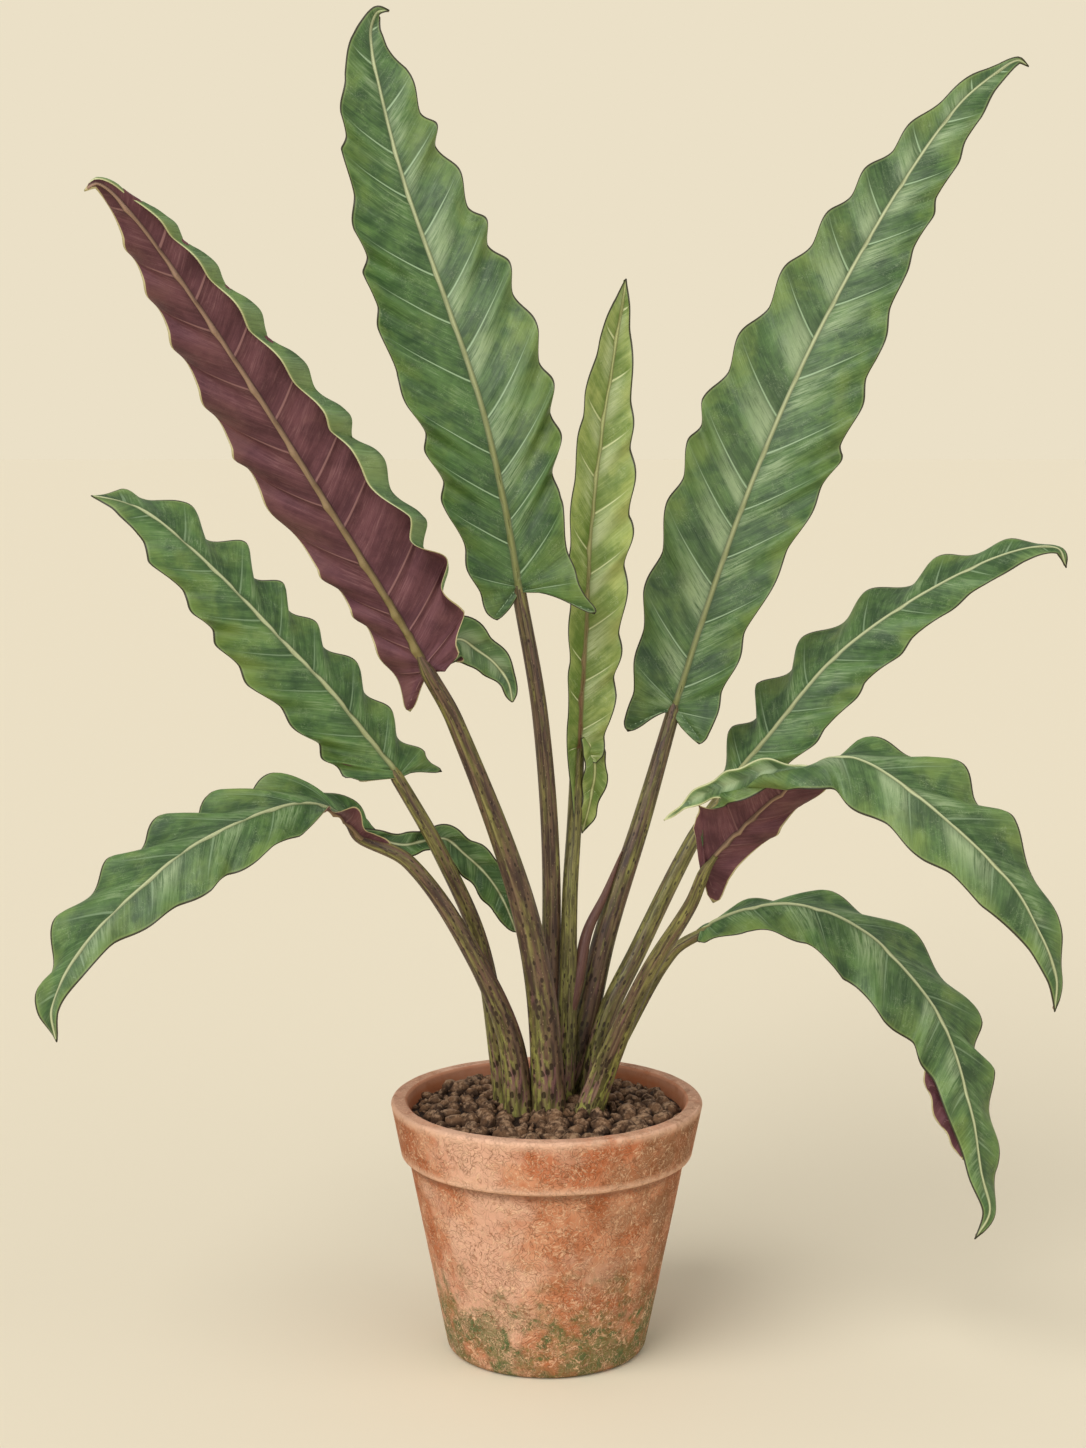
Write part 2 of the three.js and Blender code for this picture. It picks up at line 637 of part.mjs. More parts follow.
function blade(leaf, stalk) {
  const line = new BladeLine(leaf);
  const ribRadius = (share) =>
    THREE.MathUtils.lerp(BLADE.ribRadius, BLADE.ribTip, share ** BLADE.ribTaper);
  const rib = toSolid(rod(line.path, line.back - BLADE.ribTail, line.back + line.length,
    ribRadius, BLADE.ribSides, BLADE.ribSteps));
  const halves = ['left', 'right'].map((side) =>
    toSolid(sheet(bladeGrid(leaf, line, side), BLADE.thickness)));
  const flaps = leaf.flap ? [toSolid(sheet(flapGrid(leaf.flap), BLADE.thickness))] : [];
  const whole = [...halves, ...flaps].reduce((body, part) => body.add(part), rib).subtract(stalk);
  const parts = whole.decompose().sort((a, b) => b.volume() - a.volume());
  const finish = leaf.name === 'young_middle' ? YOUNG_GREEN : GREEN;
  return piece(`blade_${leaf.name}`, toGeometry(parts[0]), finish);
}

// The plant in its pot.

const plant = new THREE.Group();
plant.add(pot());
plant.add(soil(LEAVES.map((leaf) => stalkSolid(leaf, FIT_GAP))));
for (const leaf of LEAVES) {
  plant.add(piece(`stalk_${leaf.name}`, toGeometry(stalkSolid(leaf, 0)), STEM_BROWN));
  plant.add(blade(leaf, stalkSolid(leaf, FIT_GAP)));
}

const outline = new THREE.Box3().setFromObject(plant).getCenter(new THREE.Vector3());
plant.position.set(-outline.x, -outline.y, 0);

export default plant;
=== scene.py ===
"""A potted Alocasia lauterbachiana: nine leaves on mottled stalks in a terracotta pot of dark soil.

Lengths are in millimetres, measured from the foot of the pot's axis, with +Z up and the front
towards -Y. in_frame() turns such points into the frame's metres.
"""

import math

import bpy
import numpy as np
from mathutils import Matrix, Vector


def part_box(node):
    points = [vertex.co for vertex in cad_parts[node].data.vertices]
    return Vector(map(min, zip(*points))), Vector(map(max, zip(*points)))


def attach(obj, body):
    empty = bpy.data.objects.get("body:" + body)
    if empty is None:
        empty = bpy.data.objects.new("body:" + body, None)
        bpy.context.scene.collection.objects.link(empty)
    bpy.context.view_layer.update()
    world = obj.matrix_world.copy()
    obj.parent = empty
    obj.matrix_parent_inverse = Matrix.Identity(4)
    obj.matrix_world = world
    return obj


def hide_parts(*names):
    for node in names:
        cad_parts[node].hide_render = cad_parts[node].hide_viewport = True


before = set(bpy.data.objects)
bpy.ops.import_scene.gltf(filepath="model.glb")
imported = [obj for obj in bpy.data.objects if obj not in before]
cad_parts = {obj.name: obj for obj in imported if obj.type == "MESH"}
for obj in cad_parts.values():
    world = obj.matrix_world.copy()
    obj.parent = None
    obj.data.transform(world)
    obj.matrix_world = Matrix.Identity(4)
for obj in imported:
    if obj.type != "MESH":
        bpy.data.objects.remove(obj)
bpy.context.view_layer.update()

MM = 0.001
pot_low, pot_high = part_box("terracotta_pot")
POT_FOOT = np.array([(pot_low.x + pot_high.x) / 2, (pot_low.y + pot_high.y) / 2, pot_low.z])


def in_frame(points):
    return np.asarray(points, float) * MM + POT_FOOT


def colour(red, green, blue):
    """A colour given in a screen's steps from 0 to 255, as a linear one."""
    def linear(step):
        share = step / 255
        return share / 12.92 if share <= 0.04045 else ((share + 0.055) / 1.055) ** 2.4
    return (linear(red), linear(green), linear(blue), 1.0)


# Camera, light and floor

PHOTO_LONG_SIDE = 1448
FOCAL_PIXELS = 2600
SENSOR = 36
CAMERA_PLACE = (-2.4, -1625, 636)
CAMERA_DOWN = 8
CAMERA_REACH = (0.05, 100)     # metres
BACKDROP = colour(235, 224, 199)
ROOM_LIGHT = 0.5
ROOM_TINT = (1.0, 0.98, 0.94, 1)
SUNS = {                       # strength, spread in degrees, and where the light comes from
    "key_light": (2.2, 50, (-0.62, -0.78, 0.86)),
    "fill_light": (0.7, 70, (0.80, -0.62, 0.45)),
}
FLOOR_SIZE = 30                # metres


def add_camera():
    data = bpy.data.cameras.new("camera")
    data.sensor_width = SENSOR
    data.lens = FOCAL_PIXELS / PHOTO_LONG_SIDE * SENSOR
    data.clip_start, data.clip_end = CAMERA_REACH
    camera = bpy.data.objects.new("camera", data)
    camera.location = in_frame(CAMERA_PLACE)
    camera.rotation_euler = (math.radians(90 - CAMERA_DOWN), 0, 0)
    bpy.context.scene.collection.objects.link(camera)
    bpy.context.scene.camera = camera


def add_sun(name, strength, spread, source):
    """A soft light from a direction. Returns how brightly it lights a level white floor."""
    data = bpy.data.lights.new(name, "SUN")
    data.energy = strength
    data.angle = math.radians(spread)
    sun = bpy.data.objects.new(name, data)
    towards = np.array(source) / np.linalg.norm(source)
    turn = math.atan2(towards[0], -towards[1])
    sun.rotation_euler = (math.acos(towards[2]), 0, turn)
    bpy.context.scene.collection.objects.link(sun)
    return strength * towards[2] / math.pi


def add_room():
    """An even pale room: the camera sees the backdrop's colour, and the object a neutral light."""
    world = bpy.data.worlds.new("room")
    world.use_nodes = True
    nodes = world.node_tree.nodes
    seen = nodes.new("ShaderNodeBackground")
    seen.inputs["Color"].default_value = BACKDROP
    light = nodes["Background"]
    light.inputs["Color"].default_value = ROOM_TINT
    light.inputs["Strength"].default_value = ROOM_LIGHT
    either = nodes.new("ShaderNodeMixShader")
    path = nodes.new("ShaderNodeLightPath")
    links = world.node_tree.links
    links.new(path.outputs["Is Camera Ray"], either.inputs[0])
    links.new(light.outputs[0], either.inputs[1])
    links.new(seen.outputs[0], either.inputs[2])
    links.new(either.outputs[0], nodes["World Output"].inputs["Surface"])
    bpy.context.scene.world = world


def add_floor(brightness):
    """A level floor that looks as pale as the backdrop behind it."""
    half = FLOOR_SIZE / 2
    corners = [(-half, -half, 0), (half, -half, 0), (half, half, 0), (-half, half, 0)]
    mesh = bpy.data.meshes.new("floor")
    mesh.from_pydata(corners, [], [(0, 1, 2, 3)])
    material = bpy.data.materials.new("pale_floor")
    material.use_nodes = True
    shader = material.node_tree.nodes["Principled BSDF"]
    shader.inputs["Base Color"].default_value = (*[c / brightness for c in BACKDROP[:3]], 1)
    shader.inputs["Roughness"].default_value = 1
    shader.inputs["Specular IOR Level"].default_value = 0
    mesh.materials.append(material)
    floor = bpy.data.objects.new("floor", mesh)
    bpy.context.scene.collection.objects.link(floor)


bpy.context.scene.view_settings.view_transform = "Standard"
add_camera()
add_room()
add_floor(sum((add_sun(name, *sun) for name, sun in SUNS.items()), ROOM_LIGHT))


# Sizes of the plant

STATIONS = [0, 0.12, 0.25, 0.37, 0.5, 0.62, 0.75, 0.87, 0.95, 1]   # where half-widths are given

BLADE = {
    "first_seed": 100,
    "rows_per_wave": 24,
    "spread_columns": 13,
    "rib_columns": [0, 0.7, 1.4, 2.1, 2.9, 3.9, 5.4],  # distances from the midrib
    "margin_columns": [2.4, 1.1, 0.4, 0],  # distances in from the margin
    "room_for_columns": 15,  # half-width below which they close up
    "margin_samples": 4000,
    "lean": 1.05,  # how far side veins run forward
    "vein_bend": 1.14,
    "vein_pitch": 0.7,  # across the veins, of that on the margin
    "ripple": 4.6,
    "ripple_growth": 1.35,
    "ripple_turn": -1.0,  # how far ripples lag behind bulges
    "scallop": 3.2,
    "scallop_power": 1.6,
    "fan_behind": 0.35,
    "fan_half": 4,
    "blunt": 8,  # width of a back lobe's end
    "blunt_share": 0.4,
    "lobe_round": 6,
    "least_opening": 0.06,  # of a back lobe's width, at its very end
    "least_width": 0.3,
    "notch_power": 1.1,
    "lobe_power": 1.2,
    "lead_fades": 24,  # how far past the base a lobe's lead goes
    "curl_power": 1.5,
    "crease_width": 0.13,  # how sharply a margin is turned over
    "tip_width": 0.5,
    "calm_foot": 0.08,
    "calm_tip": 0.12,
    "calm_width": 30,
    "calm_least": 0.15,
    "uneven_spacing": 0.22,  # in waves
    "uneven_ripple": 0.35,
    "rib_starts": -4,
    "rib_swells_over": 3,
    "rib_taper": 0.75,
    "rib_tip": 0.16,
    "rank_per_wave": 40,  # how far streaks are apart, per wave
    "end_row": 1.2,  # width of edge that an end row stands for
    "least_edge": 0.05,
    "painted_sheen_and_shade": [0.35],  # how much painted sheen a half has beside its rib; below 0 it paints shade instead, and past 1.1 the sheen spreads over the whole half
    "warm": [0.35],  # how yellow it is towards its margin
}
FLAP = {
    "row": 1.0,
    "columns": 17,
    "least": 0.5,
    "wave": 24,
    "calm": 0.15,
    "scallop": 0.9,
    "ripple": 1.2,
    "fold": 0.2,
    "lean": 0.9,
    "rib_size": 0.15,
    "no_rib": 30,  # moves the rib out of a flap without one
    "no_costa": 50,
    "end": 5,
    "painted_sheen_and_shade": 0.4,
    "warm": 0.4,
    "veins": 0.5,
}

# Each leaf, close to its CAD solids: foot and stalk, middle line from the joint to the tip, tail
# of the back lobes, directions that the upper side looks in, and both halves. A fold lifts a half
# from the middle line and a curl bends it on towards its margin, both in degrees. Stalk radii run
# from the soil to the joint. green is how green a stalk is, from brown-purple at 0. A flap is a
# part of the blade that hangs apart from it.
LEAVES = [
    {
        "name": "upper_left", "foot": (2, -19), "radii": [11, 9.6, 7.8, 6, 4.6],
        "stalk": [(-4, -30, 242), (-19, -42, 314), (-56, -62, 418)], "green": 0.25,
        "rib": [(-72, -70, 452), (-92, -80, 489), (-133, -103, 559), (-167, -128, 618),
                (-213, -163, 693), (-234, -180, 722), (-244, -187, 730), (-251, -190, 726)],
        "tail": (-55, -62, 420), "waves": 10, "fold": [14],
        "faces": [(0.2, 0.9, 0.3), (0.15, 0.9, 0.35), (0.1, 0.9, 0.4)],
        "right": {"width": [27, 28, 35, 39, 39, 34, 27, 17, 7], "lobe": 25, "reach": 33,
                  "notch": 0.75, "curl": [5]},
        "left": {"width": [22, 43, 54, 53, 47, 39, 31, 21, 10], "lobe": 7, "reach": 10,
                 "ripple": 0.6, "painted_sheen_and_shade": [1.5], "warm": [0],
                 "curl": [0, -60, -120, -165, -165, -165, -165, -165, -150],
                 "crease": [0.72, 0.72, 0.7, 0.7, 0.7, 0.68, 0.68, 0.66, 0.66]},
        "flap": {"path": [(-71, -68, 453), (-60, -58, 465), (-52, -54, 467), (-42, -52, 460),
                          (-32, -50, 452), (-24, -50, 441), (-21, -50, 428)],
                 "width": [5, 12, 14, 12.5, 9.5, 6.5, 2], "face": (0.1, -1, 0.25),
                 "painted_sheen_and_shade": 1, "warm": 0.2},
    },
    {
        "name": "tall_left", "foot": (-9, 3), "radii": [8, 6.4, 5.8, 5.2, 4.6],
        "stalk": [(0, 11, 207), (3, 22, 304), (-4, 24, 408)], "green": 0.2,
        "rib": [(-18, 30, 492), (-26, 38, 538), (-42, 54, 606), (-66, 76, 675), (-93, 100, 750),
                (-110, 120, 813), (-116, 132, 847), (-112, 134, 861), (-103, 128, 862)],
        "tail": (-12, 26, 458), "waves": 11, "rib_size": 1.1, "veins": 1.3, "curl": [-5],
        "faces": [(0.1, -1, 0.1), (0.2, -1, 0.1), (0.3, -0.9, 0.2)],
        "right": {"width": [39, 35, 45, 48, 44, 37, 29, 19, 6], "lobe": 26, "reach": 52,
                  "notch": 0.55, "fold": [28, 14, 14, 14, 14],
                  "painted_sheen_and_shade": [0.1, 0.4, 0.7, 0.85, 0.85, 0.6, 0.4], "warm": [0.5, 0.6, 0.5, 0.3]},
        "left": {"width": [27, 37, 43, 50, 48, 42, 35, 24, 9], "lobe": 19, "reach": 22,
                 "fold": [14], "painted_sheen_and_shade": [0.1, 0.1, 0.2, 0.4, 0.5], "warm": [0.3]},
    },
    {
        "name": "young_middle", "foot": (9, 1), "radii": [7.5, 6, 5.2, 4.8, 4.4],
        "stalk": [(13, 6, 201), (15, 20, 292), (18, 36, 338)], "green": 1.2,
        "rib": [(21, 42, 386), (25, 43, 461), (28, 42, 525), (35, 41, 590), (41, 40, 629),
                (47, 38, 667), (50, 37, 686)],
        "tail": (25, 41, 329), "waves": 9, "curl": [0], "faces": [(0.2, -1, 0.1)],
        "right": {"width": [17, 23, 25, 27, 29, 25, 18, 11, 5], "lobe": 10, "reach": 14,
                  "ripple": 0.9, "fold": [30, 40, 30], "painted_sheen_and_shade": [0.6, 0.8, 1, 1, 0.8]},
        "left": {"width": [14, 15, 18, 20, 22, 22, 20, 15, 8], "lobe": 60, "reach": 10,
                 "ripple": 0.35, "fold": [45, 40, 30], "painted_sheen_and_shade": [-1, -0.4, 0.6, 0.9, 0.9]},
        "flap": {"path": [(25, 41, 394), (30, 40, 384), (31, 40, 370), (29, 40, 356),
                          (26, 40, 342), (23, 41, 330)],
                 "width": [4, 8, 8.6, 7.4, 5.6, 1], "face": (0.35, -1, 0.1),
                 "painted_sheen_and_shade": -0.9, "warm": 0.6},
    },
    {
        "name": "tall_right", "foot": (6, 19), "radii": [10, 8.4, 7.2, 6, 4.6],
        "stalk": [(22, 22, 197), (38, 33, 264), (62, 49, 337)], "green": 0.4,
        "rib": [(84, 66, 410), (104, 82, 469), (131, 101, 542), (166, 124, 622), (202, 146, 690),
                (242, 168, 755), (281, 190, 807), (307, 202, 829), (324, 208, 839), (332, 210, 835)],
        "tail": (74, 62, 382), "waves": 12, "rib_size": 0.9, "veins": 1.2,
        "fold": [14], "curl": [-5],
        "faces": [(-0.1, -1, 0.1), (-0.25, -1, 0.15), (-0.3, -0.9, 0.2)],
        "right": {"width": [28, 32, 43, 51, 47, 36, 29, 20, 8], "lobe": 18, "reach": 28,
                  "notch": 1.4, "painted_sheen_and_shade": [0.3, 0.5, 0.6, 0.8, 0.6], "warm": [0.3]},
        "left": {"width": [30, 41, 46, 49, 42, 34, 23, 12, 6], "lobe": 26, "reach": 28,
                 "notch": 0.6, "painted_sheen_and_shade": [0.6, 0.9, 1.05, 0.95, 0.65], "warm": [0.3, 0.5, 0.6]},
    },
    {
        "name": "back_right", "foot": (25, 11), "radii": [8, 6.6, 6, 5.4, 4.4],
        "stalk": [(37, 16, 209), (59, 30, 254), (95, 52, 322)], "green": 0.9,
        "rib": [(115, 61, 354), (146, 74, 389), (190, 92, 438), (239, 106, 473), (292, 118, 500),
                (325, 124, 510), (345, 127, 509), (351, 128, 496)],
        "tail": (100, 52, 330), "waves": 7, "rib_size": 0.8, "veins": 0.6,
        "fold": [-10], "curl": [-8],
        "faces": [(-0.35, -0.6, 0.75), (-0.35, -0.55, 0.75), (-0.1, -0.5, 0.85)],
        "right": {"width": [15, 26, 31, 32, 29, 23, 18, 11, 5], "lobe": 7, "reach": 9},
        "left": {"width": [13, 27, 37, 36, 36, 31, 25, 15, 6], "lobe": 7, "reach": 9},
    },
    {
        "name": "front_right", "foot": (22, -17), "radii": [9.6, 7.4, 5.8, 4.8, 3.6],
        "stalk": [(39, -26, 197), (63, -47, 258), (88, -64, 305)], "green": 0.7,
        "rib": [(96, -68, 329), (109, -78, 347), (126, -91, 367), (140, -104, 383),
                (152, -115, 395), (162, -124, 404), (175, -132, 407), (194, -142, 400),
                (229, -157, 374), (265, -166, 339), (280, -170, 314), (291, -172, 287),
                (291, -172, 265)],
        "tail": (88, -62, 314), "waves": 7, "rib_size": 0.6, "veins": 0.45,
        "faces": [(-0.1, 0.9, 0.45), (-0.1, 0.85, 0.5), (-0.25, 0.65, 0.65), (0, -0.1, 1),
                  (0.1, -0.6, 0.8), (0.2, -0.7, 0.7), (0.35, -0.75, 0.55), (0.4, -0.8, 0.5),
                  (0.5, -0.8, 0.4)],
        "right": {"width": [29, 32, 40, 35, 29, 27, 22, 12, 5], "lobe": 7, "reach": 28,
                  "ripple": 0.4, "lead": [0, 12, 24, 33],
                  "fold": [0, 0, 0, -5, -10, -12, -12, -12, -12],
                  "curl": [0, -60, -155, -60, -10, -10, -10, -10, -10],
                  "crease": [0.9, 0.8, 0.66, 0.58, 0.5, 0.5, 0.5, 0.5, 0.5],
                  "painted_sheen_and_shade": [0.4, 0.5, 0.8, 1, 0.9, 0.6], "warm": [0.5]},
        "left": {"width": [18, 21, 23, 30, 38, 38, 29, 16, 7], "lobe": 22, "reach": 22,
                 "notch": 0.9, "fold": [0, 0, -4, -8, -12, -12], "curl": [0],
                 "painted_sheen_and_shade": [0.4, 0.7, 0.6, 0.4], "warm": [0.4, 0.6]},
        "flap": {"path": [(158, -123, 399), (142, -119, 398), (128, -115, 396), (115, -111, 390),
                          (104, -106, 385), (94, -99, 380), (85, -95, 374), (78, -92, 368),
                          (70, -90, 362)],
                 "width": [0.5, 2.4, 6, 8, 7.6, 6.2, 4.2, 2.4, 0.6], "face": (0.1, -1, 0.25),
                 "painted_sheen_and_shade": 1.4, "warm": 0.2, "rib": False},
    },
    {
        "name": "low_right", "foot": (30, -1), "radii": [7, 5.6, 4.4, 3.8, 3.2],
        "stalk": [(34, -4, 176), (52, -10, 215), (80, -18, 265)], "green": 0.8,
        "rib": [(100, -24, 283), (122, -30, 294), (147, -38, 300), (169, -46, 298),
                (188, -54, 291), (208, -62, 277), (241, -78, 236), (259, -92, 179),
                (264, -98, 146), (269, -102, 123), (260, -104, 106)],
        "tail": (84, -20, 270), "waves": 7, "rib_size": 0.6, "veins": 0.45,
        "fold": [-14], "curl": [-6],
        "faces": [(-0.2, -0.2, 0.95), (0.1, -0.4, 0.9), (0.35, -0.65, 0.65), (0.5, -0.8, 0.4)],
        "right": {"width": [16, 22, 30, 36, 32, 23, 15, 9, 4], "lobe": 9, "reach": 11,
                  "painted_sheen_and_shade": [0.3, 0.6, 0.7, 0.5]},
        "left": {"width": [14, 22, 30, 36, 38, 31, 25, 16, 6], "lobe": 9, "reach": 11},
        "flap": {"path": [(231, -81, 208), (234, -81, 198), (239, -81.5, 187),
                          (244, -82, 175), (250, -83, 163), (255, -85, 150)],
                 "width": [0.5, 3.4, 5, 5, 3.6, 0.6], "face": (-0.1, 1, -0.25),
                 "painted_sheen_and_shade": 0.2, "warm": 0.2, "rib": False},
    },
    {
        "name": "mid_left", "foot": (-25, 1), "radii": [8, 6.4, 5.4, 4.8, 4.2],
        "stalk": [(-30, -4, 191), (-42, -20, 270), (-66, -42, 333)], "green": 0.55,
        "rib": [(-92, -46, 384), (-111, -43, 407), (-134, -38, 435), (-159, -32, 460),
                (-203, -19, 504), (-244, -4, 538), (-263, 2, 547), (-286, 10, 551)],
        "tail": (-79, -44, 366), "waves": 8, "rib_size": 0.75, "veins": 0.5,
        "fold": [-10], "curl": [-8],
        "faces": [(0.25, -0.7, 0.65), (0.25, -0.6, 0.75), (0.2, -0.55, 0.8)],
        "right": {"width": [24, 26, 30, 30, 32, 33, 29, 23, 15], "lobe": 21, "reach": 35,
                  "notch": 0.6},
        "left": {"width": [29, 30, 33, 36, 33, 28, 25, 14, 6], "lobe": 7, "reach": 26,
                 "lead": [0, 10, 20], "painted_sheen_and_shade": [0.3], "warm": [0.3, 0.6, 0.6]},
    },
    {
        "name": "low_left", "foot": (-17, -18), "radii": [10, 8, 6, 4.9, 4],
        "stalk": [(-24, -28, 213), (-51, -46, 279), (-85, -52, 329)], "green": 0.3,
        "rib": [(-114, -50, 346), (-127, -60, 361), (-142, -72, 369), (-158, -86, 370),
                (-184, -104, 363), (-213, -118, 349), (-237, -130, 330), (-259, -140, 310),
                (-277, -150, 287), (-287, -157, 263), (-284, -160, 244)],
        "tail": (-98, -46, 336), "waves": 7, "rib_size": 0.65, "veins": 0.45, "curl": [-6],
        "faces": [(0.1, -0.65, 0.75), (-0.05, -0.4, 0.92), (-0.3, -0.75, 0.6),
                  (-0.45, -0.85, 0.4)],
        "right": {"width": [13, 27, 41, 47, 44, 38, 32, 20, 9], "lobe": 9, "reach": 12,
                  "fold": [-5, -14, -14], "painted_sheen_and_shade": [0.2, 0.4, 0.3], "warm": [0.4]},
        "left": {"width": [11, 17, 27, 31, 31, 23, 14, 8, 4], "lobe": 20, "reach": 7,
                 "fold": [85, 45, -4, -12, -14, -14, -14, -14, -14],
                 "painted_sheen_and_shade": [0.2, 0.5, 0.8, 0.5], "warm": [0.4, 0.6]},
        "flap": {"path": [(-113, -50, 346), (-90, -42, 338), (-76, -34, 339), (-63, -28, 339),
                          (-52, -24, 329), (-40, -20, 317), (-29, -18, 301), (-19, -16, 277)],
                 "width": [4, 7, 7, 8.5, 11, 12, 10, 3], "face": (0.1, -1, 0.3)},
    },
]


# Node trees

class Nodes:
    """Adds nodes to a shader or geometry tree. An input is a number, a colour or an output."""

    def __init__(self, tree):
        self.tree = tree

    def add(self, kind, inputs=None, **settings):
        made = self.tree.nodes.new(kind)
        for setting, value in settings.items():
            setattr(made, setting, value)
        for place, value in (inputs or {}).items():
            if isinstance(value, bpy.types.NodeSocket):
                self.tree.links.new(value, made.inputs[place])
            else:
                made.inputs[place].default_value = value
        return made

    def maths(self, operation, *values):
        return self.add("ShaderNodeMath", dict(enumerate(values)), operation=operation).outputs[0]

    def times(self, *values):
        result = values[0]
        for value in values[1:]:
            result = self.maths("MULTIPLY", result, value)
        return result

    def plus(self, *values):
        result = values[0]
        for value in values[1:]:
            result = self.maths("ADD", result, value)
        return result

    def off(self, value, middle):
        """How far a value is from a number, whichever way."""
        return self.maths("ABSOLUTE", self.plus(value, -middle))

    def slope(self, value, low, high, start=0.0, end=1.0):
        """Goes smoothly from start to end as a value goes from low to high."""
        made = self.add("ShaderNodeMapRange", {0: value, 1: low, 2: high, 3: start, 4: end},
                        interpolation_type="SMOOTHSTEP")
        return made.outputs[0]

    def fall(self, value, low, high):
        return self.slope(value, low, high, 1, 0)

    def vector(self, x, y, z):
        return self.add("ShaderNodeCombineXYZ", {0: x, 1: y, 2: z}).outputs[0]

    def parts(self, vector):
        return self.add("ShaderNodeSeparateXYZ", {0: vector}).outputs

    def noise(self, vector, scale, detail=2.0, roughness=0.5, distortion=0.0):
        made = self.add("ShaderNodeTexNoise", {
            "Vector": vector, "Scale": scale, "Detail": detail, "Roughness": roughness,
            "Distortion": distortion})
        return made.outputs[0]


class Surface(Nodes):
    """The nodes of a material. Sizes of patterns are in millimetres."""

    def __init__(self, name, roughness=0.5, specular=0.4):
        self.material = bpy.data.materials.new(name)
        self.material.use_nodes = True
        super().__init__(self.material.node_tree)
        self.shader = self.tree.nodes["Principled BSDF"]
        self.shader.inputs["Roughness"].default_value = roughness
        self.shader.inputs["Specular IOR Level"].default_value = specular
        self.place = self.add("ShaderNodeTexCoord").outputs["Object"]

    def attribute(self, name):
        return self.add("ShaderNodeAttribute", attribute_name=name).outputs["Fac"]

    def patches(self, size, **settings):
        """Noise in the round, with patches of about a size."""
        return self.noise(self.place, 1 / (size * MM), **settings)

    def blend(self, factor, first, second):
        made = self.add("ShaderNodeMix", {0: factor, 6: first, 7: second}, data_type="RGBA")
        return made.outputs[2]

    def tint(self, base, shade, *masks):
        """Lays a shade over a base as strongly as the product of its masks."""
        return self.blend(self.times(*masks), base, shade)

    def finish(self, base, bump=None, depth=0.5, roughness=None):
        """Joins the colour, the fine relief, whose depth is in millimetres, and the gloss."""
        self.tree.links.new(base, self.shader.inputs["Base Color"])
        if bump is not None:
            relief = self.add("ShaderNodeBump", {"Height": bump, "Distance": depth * MM})
            self.tree.links.new(relief.outputs[0], self.shader.inputs["Normal"])
        if roughness is not None:
            self.tree.links.new(roughness, self.shader.inputs["Roughness"])
        return self.material


class GeometryTree(Nodes):
    """A Geometry Nodes tree with named inputs. It ends by realizing instances and materials."""

    KINDS = {"number": "NodeSocketFloat", "count": "NodeSocketInt", "material": "NodeSocketMaterial"}

    def __init__(self, name, inputs):
        super().__init__(bpy.data.node_groups.new(name, "GeometryNodeTree"))
        self.tree.interface.new_socket("Geometry", in_out="INPUT", socket_type="NodeSocketGeometry")
        for label, kind in inputs.items():
            self.tree.interface.new_socket(label, in_out="INPUT", socket_type=self.KINDS[kind])
        self.tree.interface.new_socket("Geometry", in_out="OUTPUT", socket_type="NodeSocketGeometry")
        self.source = self.add("NodeGroupInput").outputs

    def attribute(self, name, kind="FLOAT"):
        made = self.add("GeometryNodeInputNamedAttribute", {"Name": name}, data_type=kind)
        return made.outputs["Attribute"]

    def place(self):
        return self.add("GeometryNodeInputPosition").outputs[0]

    def normal(self):
        return self.add("GeometryNodeInputNormal").outputs["Normal"]

    def store(self, geometry, name, value, kind="FLOAT", domain="POINT"):
        made = self.add("GeometryNodeStoreNamedAttribute",
                        {"Geometry": geometry, "Name": name, "Value": value},
                        data_type=kind, domain=domain)
        return made.outputs[0]

    def shift(self, geometry, distance, along=None):
        """Moves each point a distance along its normal, or along a direction."""
        along = self.normal() if along is None else along
        offset = self.add("ShaderNodeVectorMath", {0: along, "Scale": distance}, operation="SCALE")
        return self.add("GeometryNodeSetPosition",
                        {"Geometry": geometry, "Offset": offset.outputs[0]}).outputs[0]

    def join(self, *geometries):
        made = self.add("GeometryNodeJoinGeometry")
        for geometry in geometries:
            self.tree.links.new(geometry, made.inputs[0])
        return made.outputs[0]

    def finish(self, geometry, materials):
        """materials is a list of material outputs, each with a selection or None."""
        result = self.add("GeometryNodeRealizeInstances", {0: geometry}).outputs[0]
        result = self.add("GeometryNodeSetShadeSmooth", {0: result}).outputs[0]
        for material, chosen in materials:
            inputs = {"Geometry": result, "Material": material}
            if chosen is not None:
                inputs["Selection"] = chosen
            result = self.add("GeometryNodeSetMaterial", inputs).outputs[0]
        self.add("NodeGroupOutput", {0: result})
        return self.tree


def source_mesh(name, points, edges=(), faces=(), values=None):
    """A mesh to grow a piece from, with a number at each point for each named value."""
    mesh = bpy.data.meshes.new(name)
    mesh.from_pydata(in_frame(points).tolist(), list(edges), list(faces))
    for label, numbers in (values or {}).items():
        layer = mesh.attributes.new(label, "FLOAT", "POINT")
        layer.data.foreach_set("value", np.asarray(numbers, np.float32).ravel())
    return mesh


def grow(name, mesh, tree, inputs, node):
    """Runs a tree on a source mesh and keeps the result as a plain piece that stands for a node."""
    source = bpy.data.objects.new(name + "_source", mesh)
    bpy.context.scene.collection.objects.link(source)
    modifier = source.modifiers.new(tree.name, "NODES")
    modifier.node_group = tree
    for item in tree.interface.items_tree:
        if item.in_out == "INPUT" and item.name in inputs:
            modifier[item.identifier] = inputs[item.name]
    graph = bpy.context.evaluated_depsgraph_get()
    made = bpy.data.meshes.new_from_object(source.evaluated_get(graph), depsgraph=graph)
    source.modifiers.remove(modifier)
    bpy.data.objects.remove(source)
    made.name = name
    if inside_out(made):
        made.flip_normals()
    piece = bpy.data.objects.new(name, made)
    bpy.context.scene.collection.objects.link(piece)
    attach(piece, "root")
    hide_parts(node)
    return piece


